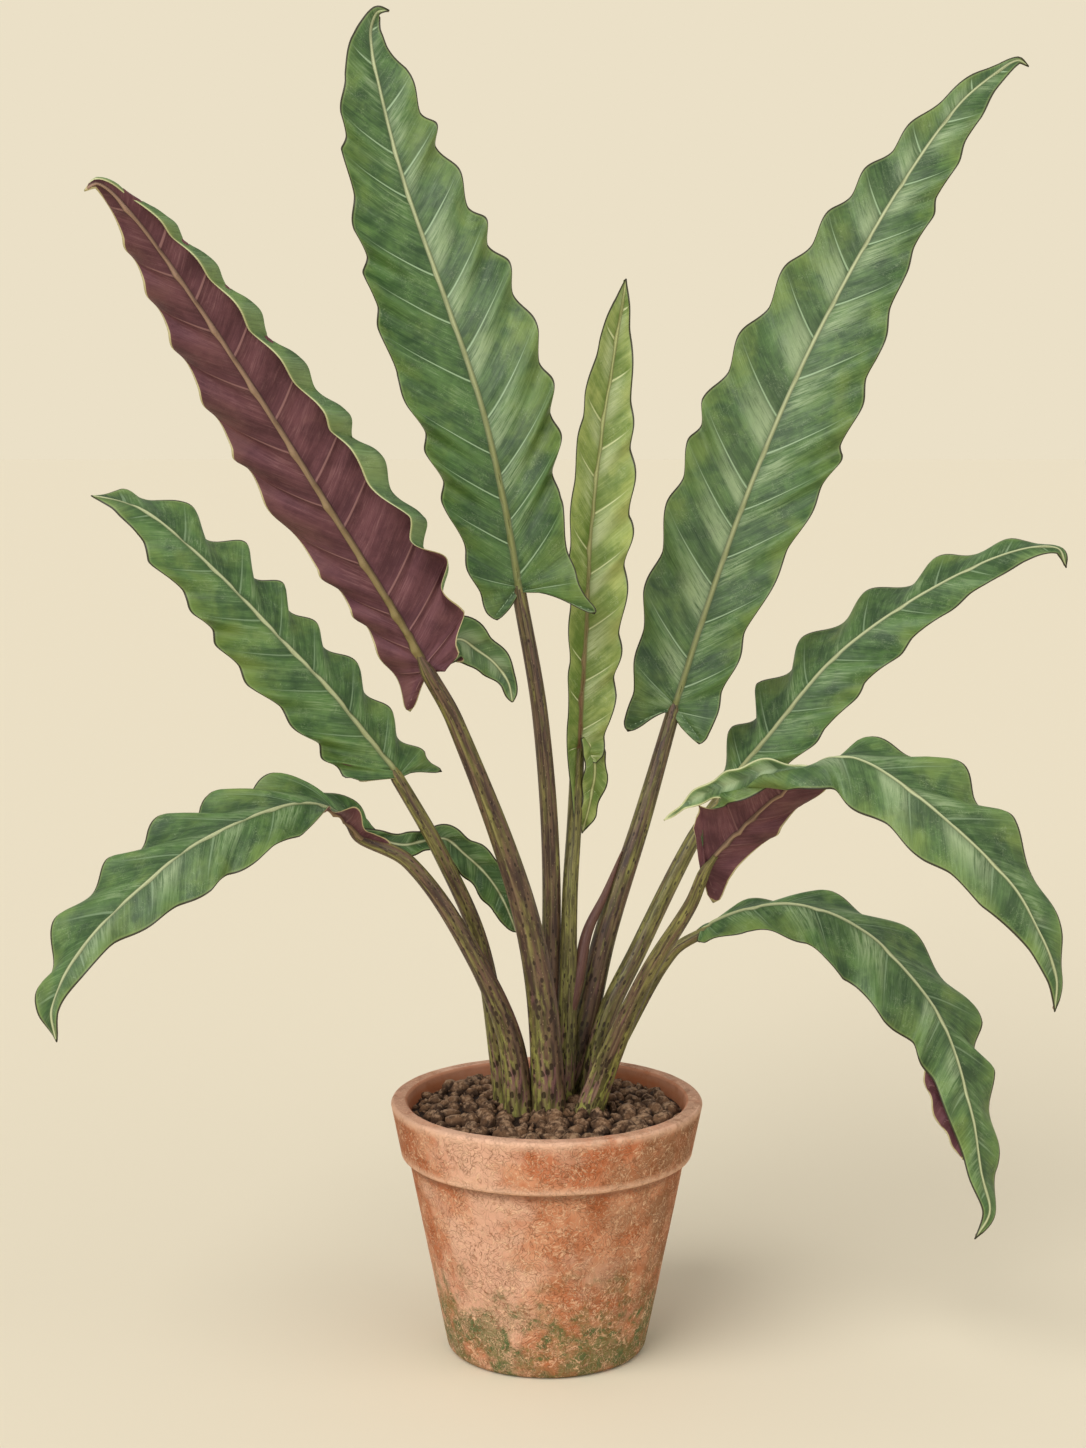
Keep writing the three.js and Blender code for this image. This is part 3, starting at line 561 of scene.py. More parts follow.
def inside_out(mesh):
    """True if the faces of a closed mesh look inwards, from the sign of its volume."""
    mesh.calc_loop_triangles()
    corners = np.empty(len(mesh.loop_triangles) * 3, int)
    mesh.loop_triangles.foreach_get("vertices", corners)
    places = np.empty(len(mesh.vertices) * 3)
    mesh.vertices.foreach_get("co", places)
    a, b, c = places.reshape(-1, 3)[corners].reshape(-1, 3, 3).transpose(1, 0, 2)
    return np.einsum("ij,ij->i", a, np.cross(b, c)).sum() < 0


# Curves

class PathCurve:
    """A smooth curve through points, read by the distance along its chords; straight past its ends."""

    def __init__(self, points):
        self.points = np.asarray(points, float)
        steps = np.linalg.norm(np.diff(self.points, axis=0), axis=1)
        self.at = np.concatenate([[0], np.cumsum(steps)])
        self.length = self.at[-1]
        last = len(self.points) - 1
        before = np.maximum(np.arange(last + 1) - 1, 0)
        after = np.minimum(np.arange(last + 1) + 1, last)
        self.slopes = (self.points[after] - self.points[before]) / (
            self.at[after] - self.at[before])[:, None]

    def point(self, distance):
        distance = np.asarray(distance, float)
        inside = np.clip(distance, 0, self.length)
        i = np.clip(np.searchsorted(self.at, inside, side="right") - 1, 0, len(self.at) - 2)
        span = (self.at[i + 1] - self.at[i])[..., None]
        u = (inside - self.at[i])[..., None] / span
        past = (distance - inside)[..., None]
        end_slope = np.where(past < 0, self.slopes[0], self.slopes[-1])
        return (self.points[i] * (1 + 2 * u) * (1 - u) ** 2
                + self.slopes[i] * span * u * (1 - u) ** 2
                + self.points[i + 1] * u * u * (3 - 2 * u)
                + self.slopes[i + 1] * span * u * u * (u - 1)
                + end_slope * past)

    def direction(self, distance):
        return unit(self.point(np.asarray(distance) + 1) - self.point(np.asarray(distance) - 1))


def unit(vectors):
    return vectors / np.linalg.norm(vectors, axis=-1, keepdims=True)


def even(values, share):
    """Reads evenly spaced values at shares from 0 to 1."""
    return np.interp(share, np.linspace(0, 1, len(values)), values) if len(values) > 1 else (
        np.full(np.shape(share), float(values[0])))


def smooth_step(values):
    share = np.clip(values, 0, 1)
    return share * share * (3 - 2 * share)


# Blades

class BladeLine:
    """The middle line from the tail of the back lobes to the tip; x is 0 at the joint."""

    def __init__(self, leaf):
        self.path = PathCurve([leaf["tail"], *leaf["rib"]])
        self.back = self.path.at[1]
        self.length = self.path.length - self.back
        self.faces = unit(np.array(leaf["faces"], float))

    def frame(self, x):
        origin = self.path.point(x + self.back)
        forward = self.path.direction(x + self.back)
        share = x / self.length
        up = np.stack([even(self.faces[:, k], share) for k in range(3)], axis=-1)
        up = unit(up - forward * np.sum(up * forward, axis=-1, keepdims=True))
        return origin, up, np.cross(forward, up)


def smooth_width(half, length, x):
    """The half-width at x from the joint, before scallops."""
    widths = [*half["width"], BLADE["tip_width"]]
    ahead = np.interp(x / length, STATIONS, widths)
    share = np.clip((x + half["lobe"]) / half["lobe"], 0, 1)
    lobe = half["reach"] + (widths[0] - half["reach"]) * np.sin(share * math.pi / 2) ** (
        BLADE["lobe_power"])
    return np.where(x < 0, lobe, ahead)


def row_start(half, length, margin):
    """Where the row that ends at a place along the margin leaves the midrib or the notch."""
    fan, lean = BLADE["fan_half"], BLADE["lean"]
    fan_back = -BLADE["fan_behind"] * half["lobe"]
    fan_front = lean * half["width"][0]
    free = fan_front - lean * smooth_width(half, length, np.array(fan_front))
    led = margin - lean * smooth_width(half, length, margin) - free
    ahead = fan + led * (length - fan) / (length - lean * BLADE["tip_width"] - free)
    behind = np.interp(margin, [-half["lobe"], fan_back], [-half["lobe"], -fan])
    middle = np.interp(margin, [fan_back, fan_front], [-fan, fan])
    start = np.where(margin < fan_back, behind, np.where(margin < fan_front, middle, ahead))
    return np.maximum.accumulate(start)


def shared_starts(leaf, length, random):
    """Where each row starts, alike for both halves, and how many rows leave from the notch."""
    both = [leaf["right"], leaf["left"]]
    mean = {
        "width": np.mean([half["width"] for half in both], axis=0),
        "lobe": np.mean([half["lobe"] for half in both]),
        "reach": np.mean([half["reach"] for half in both]),
    }
    rows = BLADE["rows_per_wave"] * leaf["waves"]
    share = np.linspace(0, 1, rows + 1)
    knots = np.linspace(0, 1, leaf["waves"] + 1)
    jitter = random.uniform(-1, 1, len(knots)) * BLADE["uneven_spacing"] / leaf["waves"]
    jitter[[0, -1]] = 0
    share = share + np.interp(share, knots, jitter)
    margin = -mean["lobe"] + (length + mean["lobe"]) * share
    start = row_start(mean, length, margin)
    notch_rows = int(np.argmax(start >= -BLADE["fan_half"]))
    start[notch_rows] = -BLADE["fan_half"]
    return start, notch_rows


class HalfBlade:
    """One half of a blade as rows of points from the middle line or the notch out to the margin."""

    def __init__(self, leaf, side, line, start, notch_rows, random):
        self.leaf, self.half, self.line = leaf, leaf[side], line
        self.hand, phase = (1, 0.0) if side == "right" else (-1, 0.5)
        self.lobe, self.reach = self.half["lobe"], self.half["reach"]
        self.notch_rows = notch_rows
        self.start, self.margin = self.row_places(start)
        self.along = self.margin / line.length
        self.smooth = smooth_width(self.half, line.length, self.margin)
        self.turn = np.arange(len(start)) / BLADE["rows_per_wave"] + phase
        self.strength = self.wave_strength(random)
        self.inner, outer = self.row_ends()
        self.width = outer - self.inner
        self.out = self.columns()
        self.share = self.out / self.width[:, None]
        self.x = self.places_along()

    def row_places(self, start):
        """Where each row leaves the middle line or the notch, and where it meets the margin."""
        fine = np.linspace(-self.lobe, self.line.length, BLADE["margin_samples"])
        margin = np.interp(start, row_start(self.half, self.line.length, fine), fine)
        fan_back = -BLADE["fan_behind"] * self.lobe
        behind = np.arange(self.notch_rows + 1) / self.notch_rows
        margin[:self.notch_rows + 1] = -self.lobe + (fan_back + self.lobe) * behind
        start = start.copy()
        start[:self.notch_rows + 1] = -self.lobe + (self.lobe - BLADE["fan_half"]) * behind
        return start, margin

    def wave_strength(self, random):
        """How strongly each row bulges and ripples: less at both ends and where it is narrow."""
        share = (self.margin + self.lobe) / (self.line.length + self.lobe)
        narrow = np.maximum(self.smooth / BLADE["calm_width"], BLADE["calm_least"])
        calm = np.minimum.reduce([share / BLADE["calm_foot"], (1 - share) / BLADE["calm_tip"],
                                  narrow, np.ones_like(share)])
        knots = np.arange(0, self.leaf["waves"] + 2)
        uneven = 1 + BLADE["uneven_ripple"] * random.uniform(-1, 1, len(knots))
        return calm * np.interp(self.turn, knots, uneven)

    def row_ends(self):
        """How far from the middle line each row starts and ends."""
        notch = np.clip((-self.start - BLADE["fan_half"]) / (self.lobe - BLADE["fan_half"]), 0, 1)
        blunt = min(BLADE["blunt"], self.reach * BLADE["blunt_share"])
        inner = (self.reach - blunt) * notch ** self.half.get("notch", BLADE["notch_power"])
        crest = np.abs(np.sin(math.pi * self.turn)) ** BLADE["scallop_power"]
        bulged = self.smooth + BLADE["scallop"] * self.strength * (2 * crest - 1)
        outer = np.maximum(bulged, inner + BLADE["least_width"])
        closed = 1 - np.clip((self.margin + self.lobe) / BLADE["lobe_round"], 0, 1)
        opened = np.maximum(np.sqrt(1 - closed ** 2), BLADE["least_opening"])
        middle = (inner + outer) / 2
        return middle + (inner - middle) * opened, middle + (outer - middle) * opened

    def columns(self):
        """Distances out along each row, close together beside the midrib and the margin."""
        scale = np.minimum(self.width / BLADE["room_for_columns"], 1)
        near = np.outer(scale, BLADE["rib_columns"])
        far = self.width[:, None] - np.outer(scale, BLADE["margin_columns"])
        spread = np.linspace(0, 1, BLADE["spread_columns"] + 2)[1:-1]
        middle = near[:, -1:] + (far[:, :1] - near[:, -1:]) * spread
        return np.concatenate([near, middle, far], axis=1)

    def places_along(self):
        """How far along the middle line each point lies. A lobe's lead moves its points on."""
        x = self.start[:, None] + (self.margin - self.start)[:, None] * self.share ** BLADE["vein_bend"]
        base = self.lobe + self.half["width"][0] + BLADE["lead_fades"]
        led = 1 - smooth_step((self.margin + self.lobe) / base)
        lead = even(self.half.get("lead", [0]), (self.inner[:, None] + self.out) / self.reach)
        return x + led[:, None] * lead

    def bend(self, kind):
        """Each row's fold or curl, which stands at its half or at the leaf."""
        angles = self.half.get(kind, self.leaf.get(kind))
        return np.radians(even(angles, self.along))[:, None]

    def tilt(self, share):
        """The angle of the section at shares of the way out, folded up and rolled over."""
        fold, curl = self.bend("fold"), self.bend("curl")
        if "crease" not in self.half:
            return fold + curl * share ** BLADE["curl_power"]
        crease = even(self.half["crease"], self.along)[:, None]
        return fold + curl * smooth_step((share - crease) / BLADE["crease_width"])

    def points(self):
        fold = self.bend("fold")
        angle = self.tilt((self.share[:, 1:] + self.share[:, :-1]) / 2)
        first, steps = self.inner[:, None], np.diff(self.out, axis=1)
        aside = np.cumsum(np.concatenate([first * np.cos(fold), steps * np.cos(angle)], 1), 1)
        above = np.cumsum(np.concatenate([first * np.sin(fold), steps * np.sin(angle)], 1), 1)
        tilt = self.tilt(self.share)
        lift = BLADE["ripple"] * self.half.get("ripple", 1) * self.strength * np.sin(
            2 * math.pi * self.turn + BLADE["ripple_turn"])
        raised = lift[:, None] * self.share ** BLADE["ripple_growth"]
        origin, up, right = self.line.frame(self.x)
        return (origin + self.hand * (aside - raised * np.sin(tilt))[..., None] * right
                + (above + raised * np.cos(tilt))[..., None] * up)

    def edge(self, rim):
        """How far each point is from the outline."""
        rows = np.arange(len(self.start))
        edge = self.width[:, None] - self.out
        edge = np.minimum(edge, np.minimum(rows, rows[-1] - rows)[:, None] * BLADE["end_row"])
        in_notch = rows <= self.notch_rows
        edge[in_notch] = np.minimum(edge[in_notch], self.out[in_notch])
        return np.where(rim, 0, np.maximum(edge, BLADE["least_edge"]))

    def rib_size(self):
        along = np.clip(self.x / self.line.length, -1, 1)
        size = 1 - (1 - BLADE["rib_tip"]) * np.clip(along, 0, 1) ** BLADE["rib_taper"]
        begun = (along * self.line.length - BLADE["rib_starts"]) / BLADE["rib_swells_over"]
        return size * self.leaf.get("rib_size", 1) * smooth_step(begun)

    def values(self):
        """What the tree and the materials read at each point. Lengths are in millimetres."""
        flat = 0 * self.out
        rim = rim_of(*self.out.shape, self.notch_rows + 1)
        reach = self.inner[:, None] + self.out
        pitch = np.gradient(self.margin)[:, None] * BLADE["rows_per_wave"] * BLADE["vein_pitch"]
        lobe_line = self.reach * np.clip(-self.x / self.lobe, 0, 1)
        return {
            "rib_mm": reach,
            "edge_mm": self.edge(rim),
            "vein_mm": np.abs((self.turn % 1) - 0.5)[:, None] * np.abs(pitch) + flat,
            "costa_mm": np.where(self.x < 0, np.abs(reach - lobe_line), np.hypot(self.x, reach)),
            "rank_mm": (self.turn * BLADE["rank_per_wave"])[:, None] + flat,
            "run_mm": self.out,
            "across": self.share,
            "wave": np.sin(2 * math.pi * self.turn)[:, None] + flat,
            "painted_sheen_and_shade": even(self.half.get("painted_sheen_and_shade", BLADE["painted_sheen_and_shade"]), self.along)[:, None] + flat,
            "warm": even(self.half.get("warm", BLADE["warm"]), self.along)[:, None] + flat,
            "veins": flat + self.leaf.get("veins", 1),
            "rim": rim.astype(float),
            "rib_size": self.rib_size(),
        }


def rim_of(rows, columns, inner_rows):
    """True on a grid's outline: both end rows, the last column and part of the first one."""
    rim = np.zeros((rows, columns), bool)
    rim[[0, -1], :] = True
    rim[:, -1] = True
    rim[:inner_rows, 0] = True
    return rim


def grid_faces(number, hand):
    """Faces between numbered points on a grid, turned to look up on either half."""
    a, b, c, d = number[:-1, :-1], number[1:, :-1], number[1:, 1:], number[:-1, 1:]
    order = (a, d, c, b) if hand > 0 else (a, b, c, d)
    return np.stack([corner.ravel() for corner in order], axis=1)


def stacked(tables):
    return {label: np.concatenate([table[label].ravel() for table in tables]) for label in tables[0]}


def flap_sheet(flap, first):
    """Points, values and faces of a back lobe or strip that hangs apart from its blade."""
    path = PathCurve(flap["path"])
    run = np.linspace(0, path.length, int(path.length / FLAP["row"]))
    share, turn = run / path.length, run / FLAP["wave"]
    calm = np.minimum(np.minimum(share, 1 - share) / FLAP["calm"], 1)
    width = np.maximum(even(flap["width"], share), FLAP["least"])
    width = width + FLAP["scallop"] * calm * np.sin(2 * math.pi * turn)
    closed = 1 - np.clip((path.length - run) / FLAP["end"], 0, 1)
    width = np.maximum(width * np.sqrt(1 - closed ** 2), FLAP["least"])
    columns = np.linspace(-1, 1, FLAP["columns"])
    aside = width[:, None] * columns
    out = np.abs(aside)
    quarter = 0.25 * np.sign(columns)
    above = FLAP["fold"] * out + FLAP["ripple"] * calm[:, None] * np.abs(columns) * (
        np.sin(2 * math.pi * (turn[:, None] + quarter)))
    face, forward = np.array(flap["face"], float), path.direction(run)
    up = unit(face - forward * (forward @ face)[:, None])
    right = np.cross(forward, up)
    points = (path.point(run)[:, None] + aside[..., None] * right[:, None]
              + above[..., None] * up[:, None])

    rim = rim_of(*aside.shape, len(run))
    edge = width[:, None] * (1 - np.abs(columns))
    rank = run[:, None] - FLAP["lean"] * out
    panel = rank / FLAP["wave"]
    flat = 0 * edge
    values = {
        "rib_mm": out + (0 if flap.get("rib", True) else FLAP["no_rib"]),
        "edge_mm": np.where(rim, 0, np.maximum(edge, BLADE["least_edge"])),
        "vein_mm": np.abs(panel % 1 - 0.5) * FLAP["wave"],
        "costa_mm": flat + FLAP["no_costa"],
        "rank_mm": rank,
        "run_mm": out,
        "across": flat + np.abs(columns),
        "wave": np.sin(2 * math.pi * panel),
        "painted_sheen_and_shade": flat + flap.get("painted_sheen_and_shade", FLAP["painted_sheen_and_shade"]),
        "warm": flat + flap.get("warm", FLAP["warm"]),
        "veins": flat + FLAP["veins"],
        "rim": rim.astype(float),
        "rib_size": flat + FLAP["rib_size"] * (1 - share[:, None]) ** 0.5,
    }
    number = first + np.arange(edge.size).reshape(edge.shape)
    return points.reshape(-1, 3), values, grid_faces(number, 1)


def blade_sheet(leaf, seed):
    """The blade as a sheet without thickness, both halves joined along the midrib."""
    random = np.random.default_rng(seed)
    line = BladeLine(leaf)
    start, notch_rows = shared_starts(leaf, line.length, random)
    halves = [HalfBlade(leaf, side, line, start, notch_rows, random) for side in ("right", "left")]
    right = np.arange(halves[0].out.size).reshape(halves[0].out.shape)
    left = right + right.size
    left[notch_rows:, 0] = right[notch_rows:, 0]
    faces = np.concatenate([grid_faces(right, 1), grid_faces(left, -1)])
    points = np.concatenate([half.points().reshape(-1, 3) for half in halves])
    values = stacked([half.values() for half in halves])

    used = np.unique(faces)
    renumber = np.zeros(len(points), int)
    renumber[used] = np.arange(len(used))
    points, faces = points[used], renumber[faces]
    values = {label: numbers[used] for label, numbers in values.items()}
    if "flap" in leaf:
        more_points, more_values, more_faces = flap_sheet(leaf["flap"], len(points))
        points = np.concatenate([points, more_points])
        faces = np.concatenate([faces, more_faces])
        values = stacked([values, more_values])
    return source_mesh(leaf["name"], points, faces=faces.tolist(), values=values)


BLADE_RELIEF = {            # heights and depths in metres, widths in millimetres
    "Thickness": 0.7 * MM, "Edge Width": 1.3,
    "Ridge Height": 1.5 * MM, "Ridge Width": 2.9,
    "Keel Depth": 3.6 * MM, "Keel Width": 4.6,
    "Vein Depth": 1.1 * MM, "Vein Width": 5.5,
    "Cord Share": 0.45, "Cord Width": 1.6,
}


def blade_tree():
    """Gives a sheet its thickness, the midrib's ridge and keel, and sunken side veins with a
    raised cord beneath."""
    tree = GeometryTree("blade_body", {
        **dict.fromkeys(BLADE_RELIEF, "number"), "Upper Side": "material", "Underside": "material"})
    given = tree.source

    def rise(distance, width, *heights):
        return tree.times(tree.fall(distance, 0, given[width]), *heights)

    edge = tree.slope(tree.attribute("edge_mm"), 0, given["Edge Width"])
    size = tree.attribute("rib_size")
    rib = tree.maths("DIVIDE", tree.attribute("rib_mm"), tree.maths("MAXIMUM", size, 0.05))
    vein = tree.maths("MINIMUM", tree.attribute("vein_mm"), tree.attribute("costa_mm"))
    fading = tree.times(tree.fall(tree.attribute("across"), 0.6, 1.0), edge)
    sheet = tree.shift(given["Geometry"],
                       tree.times(rise(vein, "Vein Width", fading, given["Vein Depth"]), -1))
    half = tree.times(given["Thickness"], 0.5, edge)
    ridge = rise(rib, "Ridge Width", size, edge, given["Ridge Height"])
    keel = rise(rib, "Keel Width", size, edge, given["Keel Depth"])
    cord = rise(vein, "Cord Width", fading, given["Vein Depth"], given["Cord Share"])
    upper = tree.shift(sheet, tree.plus(half, ridge))
    under = tree.shift(sheet, tree.times(tree.plus(half, keel, cord), -1))
    under = tree.add("GeometryNodeFlipFaces", {0: under}).outputs[0]
    under = tree.store(under, "underside", True, "BOOLEAN", "FACE")
    rim = tree.maths("GREATER_THAN", tree.attribute("rim"), 0.5)
    closed = tree.add("GeometryNodeMergeByDistance", {
        "Geometry": tree.join(under, upper), "Selection": rim, "Distance": 1e-6})
    below = tree.attribute("underside", "BOOLEAN")
    return tree.finish(closed.outputs[0], [(given["Upper Side"], None), (given["Underside"], below)])


PATTERN = {
    "vein_half": 0.30,  # mm, a side vein at the midrib
    "vein_tip": 0.10,  # and near the margin
    "vein_soft": 0.35,
    "flank": 4.0,  # how far the shade beside a vein reaches
    "core": 1.65,  # half the midrib's width where it is full size
    "core_least": 0.35,
    "core_soft": 0.5,
    "core_shade": 1.2,  # width of the painted shade line on either side of the midrib
    "margin": 0.68,
    "margin_soft": 0.35,
    "inner_line": 2.1,
}


class LeafSide(Surface):
    """One side of a blade, painted in layers."""

    def __init__(self, name, look):
        super().__init__(name, specular=look["gloss"])
        self.look = look
        self.rib, self.edge = self.attribute("rib_mm"), self.attribute("edge_mm")
        self.vein = self.maths("MINIMUM", self.attribute("vein_mm"), self.attribute("costa_mm"))
        self.across, self.size = self.attribute("across"), self.attribute("rib_size")
        # A half's amount of painted sheen, as highlights; below zero it paints shade instead.
        self.own, self.wave = self.attribute("painted_sheen_and_shade"), self.attribute("wave")
        self.hair = self.streaks(0.9, 11, detail=3.0, roughness=0.65, distortion=0.25)
        self.brush = self.streaks(3.4, 24, detail=3.0, roughness=0.6, distortion=0.6)
        self.cloud = self.patches(17, detail=4.0, roughness=0.6, distortion=0.4)

    def streaks(self, wide, long, **settings):
        """Brush streaks that follow the side veins."""
        rank, run = self.attribute("rank_mm"), self.attribute("run_mm")
        place = self.vector(self.times(rank, 1 / wide), self.times(run, 1 / long), 0.0)
        return self.noise(place, 1.0, **settings)

    def clouds(self):
        """Clouds of dark and mid colour, with painted light and shade on either side of each side vein,
        painted shade where a half's sheen amount is below zero, and yellow-green patches towards the
        margin.
        """
        # painted shade where a half's sheen amount is below zero
        dull = self.times(self.maths("MINIMUM", self.own, 0.0), 0.14)
        # the wave term paints light on one side of each side vein and shade on the other
        tone = self.plus(self.times(self.cloud, 0.55), self.times(self.brush, 0.35),
                         self.times(self.wave, 0.06), dull)
        body = self.blend(self.slope(tone, 0.26, 0.62), self.look["dark"], self.look["mid"])
        patch = self.patches(36, detail=3.0, distortion=0.8)
        warm = self.plus(self.times(patch, 0.7), self.times(self.cloud, 0.3),
                         self.times(self.across, 0.20), self.times(self.attribute("warm"), 0.25))
        return self.tint(body, self.look["patch"], self.slope(warm, 0.66, 0.98), 0.7)

    def with_painted_sheen(self, body):
        """Painted sheen as highlights beside the midrib and on one side of each panel, small curls in the
        sheen's colour, and fine hair lines.
        """
        look = self.look
        pale = self.times(self.slope(self.own, 1.1, 2.1), look["pale"])
        panel = self.maths("MAXIMUM", self.slope(self.wave, -0.6, 0.6, 0.12, 1.0), pale)
        beside = self.maths("MAXIMUM", self.slope(self.across, 0.04, 0.85, 1.0, 0.12), pale)
        painted_sheen_and_shade = self.maths("MINIMUM", self.own, look["sheen_most"])
        painted_sheen_and_shade = self.plus(self.times(painted_sheen_and_shade, 0.42), self.times(self.brush, 0.75),
                           self.times(self.hair, 0.55))
        # painted sheen: the highlight colour beside the midrib and on the lit side of each panel
        body = self.tint(body, look["sheen"], self.slope(painted_sheen_and_shade, 0.74, 1.10), beside, panel,
                         look["sheen_strength"])
        curls = self.off(self.patches(4.2, detail=2.0, distortion=1.8), 0.5)
        body = self.tint(body, look["sheen"], self.fall(curls, 0.0, 0.028),
                         self.slope(self.patches(12, detail=2.0), 0.46, 0.62),
                         look["curl_strength"])
        body = self.tint(body, look["dark"], self.fall(self.hair, 0.34, 0.52), 0.20)
        return self.tint(body, look["vein"], self.slope(self.hair, 0.54, 0.72), 0.20)

    def veined(self, body):
        """Thin pale side veins with shaded flanks, and shade along the midrib."""
        dark = self.look["dark"]
        body = self.tint(body, dark, self.fall(self.vein, 0.3, PATTERN["flank"]),
                         self.fall(self.across, 0.6, 1.0), 0.38)
        body = self.tint(body, dark, self.fall(self.rib, 1.5, 6.0), 0.35)
        half = self.slope(self.across, 0.05, 0.95, PATTERN["vein_half"], PATTERN["vein_tip"])
        line = self.fall(self.vein, half, self.plus(half, PATTERN["vein_soft"]))
        return self.tint(body, self.look["vein"], line, self.slope(self.across, 0.4, 0.98, 1, 0.1),
                         self.attribute("veins"), self.look["vein_strength"])

    def ribbed(self, body):
        """The midrib with a painted shade line on either side, and painted shade towards its edges as on
        a round rib.
        """
        look = self.look
        core = self.plus(self.times(self.size, PATTERN["core"]), PATTERN["core_least"])
        shade = self.fall(self.rib, core, self.plus(core, PATTERN["core_shade"]))
        # painted shade line on either side of the midrib
        body = self.tint(body, look["rib_shade"], shade, 0.8)
        full = self.slope(self.plus(self.size, self.times(self.hair, 0.1)), 0.35, 1.0)
        rib_colour = self.blend(full, look["rib"], look["rib_low"])
        # painted shade towards the midrib's edges, as on a round rib
        rib_side_shade = self.slope(self.maths("DIVIDE", self.rib, core), 0.35, 1.0, 0.0, 0.55)
        rib_colour = self.blend(rib_side_shade, rib_colour, look["rib_shade"])
        on_rib = self.fall(self.rib, core, self.plus(core, PATTERN["core_soft"]))
        return self.blend(on_rib, body, rib_colour)

    def rimmed(self, body):
        """A thin dark margin, cream where a half is very pale, with a paler line inside it."""
        look, margin = self.look, PATTERN["margin"]
        inside = self.fall(self.edge, 0.9, PATTERN["inner_line"])
        body = self.tint(body, look["rim"], inside, look["rim_strength"])
        cream = self.times(self.slope(self.own, 1.1, 1.2), look["pale"])
        outline = self.fall(self.edge, margin, margin + PATTERN["margin_soft"])
        return self.tint(body, self.blend(cream, look["margin"], look["cream"]), outline, 0.98)


def blade_surface(name, look):
    s = LeafSide(name, look)
    body = s.rimmed(s.ribbed(s.veined(s.with_painted_sheen(s.clouds()))))
    fine = s.plus(s.times(s.hair, 0.9), s.times(s.patches(1.6), 0.3))
    return s.finish(body, fine, 0.3, s.slope(s.hair, 0.3, 0.7, look["rough"] + 0.08, look["rough"]))


UPPER_LOOK = {
    "dark": colour(40, 68, 30), "mid": colour(88, 122, 62), "patch": colour(122, 142, 66),
    "sheen": colour(166, 182, 140), "sheen_strength": 0.72, "curl_strength": 0.28,
    "sheen_most": 1.2, "pale": 1.0, "cream": colour(196, 198, 150),
    "vein": colour(150, 174, 134), "vein_strength": 0.8, "rib_low": colour(132, 134, 78),
    "rib": colour(186, 192, 146), "rib_shade": colour(66, 80, 38),
    "rim": colour(142, 160, 98), "rim_strength": 0.4, "margin": colour(52, 48, 28),
    "gloss": 0.4, "rough": 0.44,
}
UNDER_LOOK = {
    "dark": colour(80, 46, 53), "mid": colour(114, 72, 79), "patch": colour(122, 84, 80),
    "sheen": colour(152, 112, 114), "sheen_strength": 0.7, "curl_strength": 0.15,
    "sheen_most": 0.35, "pale": 0.0, "cream": colour(198, 188, 142),
    "vein": colour(158, 118, 116), "vein_strength": 0.7, "rib_low": colour(136, 122, 78),
    "rib": colour(162, 132, 112), "rib_shade": colour(58, 38, 34),
    "rim": colour(126, 86, 82), "rim_strength": 0.2, "margin": colour(198, 188, 142),
    "gloss": 0.25, "rough": 0.58,
}
YOUNG_LOOK = {
    **UPPER_LOOK,
    "dark": colour(96, 120, 48), "mid": colour(154, 170, 94), "patch": colour(184, 190, 110),
    "sheen": colour(206, 214, 172), "vein": colour(206, 212, 160), "vein_strength": 1.0,
    "rib_low": colour(122, 84, 58),
    "rib": colour(186, 192, 130), "rib_shade": colour(98, 96, 48),
}
YOUNG_UNDER_LOOK = {
    **YOUNG_LOOK, "dark": colour(84, 104, 48), "mid": colour(122, 138, 78), "gloss": 0.25,
}


# Stalks

STALK = {
    "buried": 14,
    "step": 2.5,
    "sink": 3.2,  # how far under the blade the stalk runs at the joint
    "sink_past": 0.6,  # and past it, as a share of that
    "past_joint": 12,
    "taper_before": 4,
    "end_radius": 1.6,
}
STALK_SKIN = {"Sides": 40, "Fold Height": 0.7 * MM, "Fold Reach": 95.0}
FOLDS = [(-0.9, 0.28), (1.7, 0.22), (-2.5, 0.2)]     # place and half-width round the base, radians
GROOVES = [(-2.25, 0.10), (-1.5, 0.08), (-0.9, 0.09), (0.2, 0.1), (1.7, 0.1)]
SHEATH = {
    "leaf": "tall_right",
    "starts": (-2, -12),  # from the stalk's foot
    "height": 172,
    "path": [(12, 6, 210), (20, 12, 240), (26, 22, 268), (38, 32, 292), (49, 41, 318)],
    "end_radius": 0.4,
    "swell": 3.8,
}
SOIL_EDGE = 155
SOIL_DOME = 6
SOIL_RADIUS = 87


def soil_top(radius):
    return SOIL_EDGE + SOIL_DOME * np.cos(np.minimum(radius / SOIL_RADIUS, 1) * math.pi / 2)


def path_steps(path):
    return np.linspace(0, path.length, int(path.length / STALK["step"]))


def stalk_line(leaf):
    """The stalk's middle line as a chain of points, with its radius and the rise from the soil."""
    x, y = leaf["foot"]
    top = soil_top(math.hypot(x, y))
    joint, up, _ = BladeLine(leaf).frame(np.array([0.0, STALK["past_joint"]]))
    under = joint - up * np.array([[STALK["sink"]], [STALK["sink"] * STALK["sink_past"]]])
    path = PathCurve([(x, y, top - STALK["buried"]), *leaf["stalk"], *under])
    run = path_steps(path)
    joint_at, before = path.at[-2], STALK["taper_before"]
    radius = even(leaf["radii"], run / joint_at)
    taper = smooth_step((run - joint_at + before) / (path.length - joint_at + before))
    radius = radius + (STALK["end_radius"] - radius) * taper
    return path.point(run), radius, run - STALK["buried"]


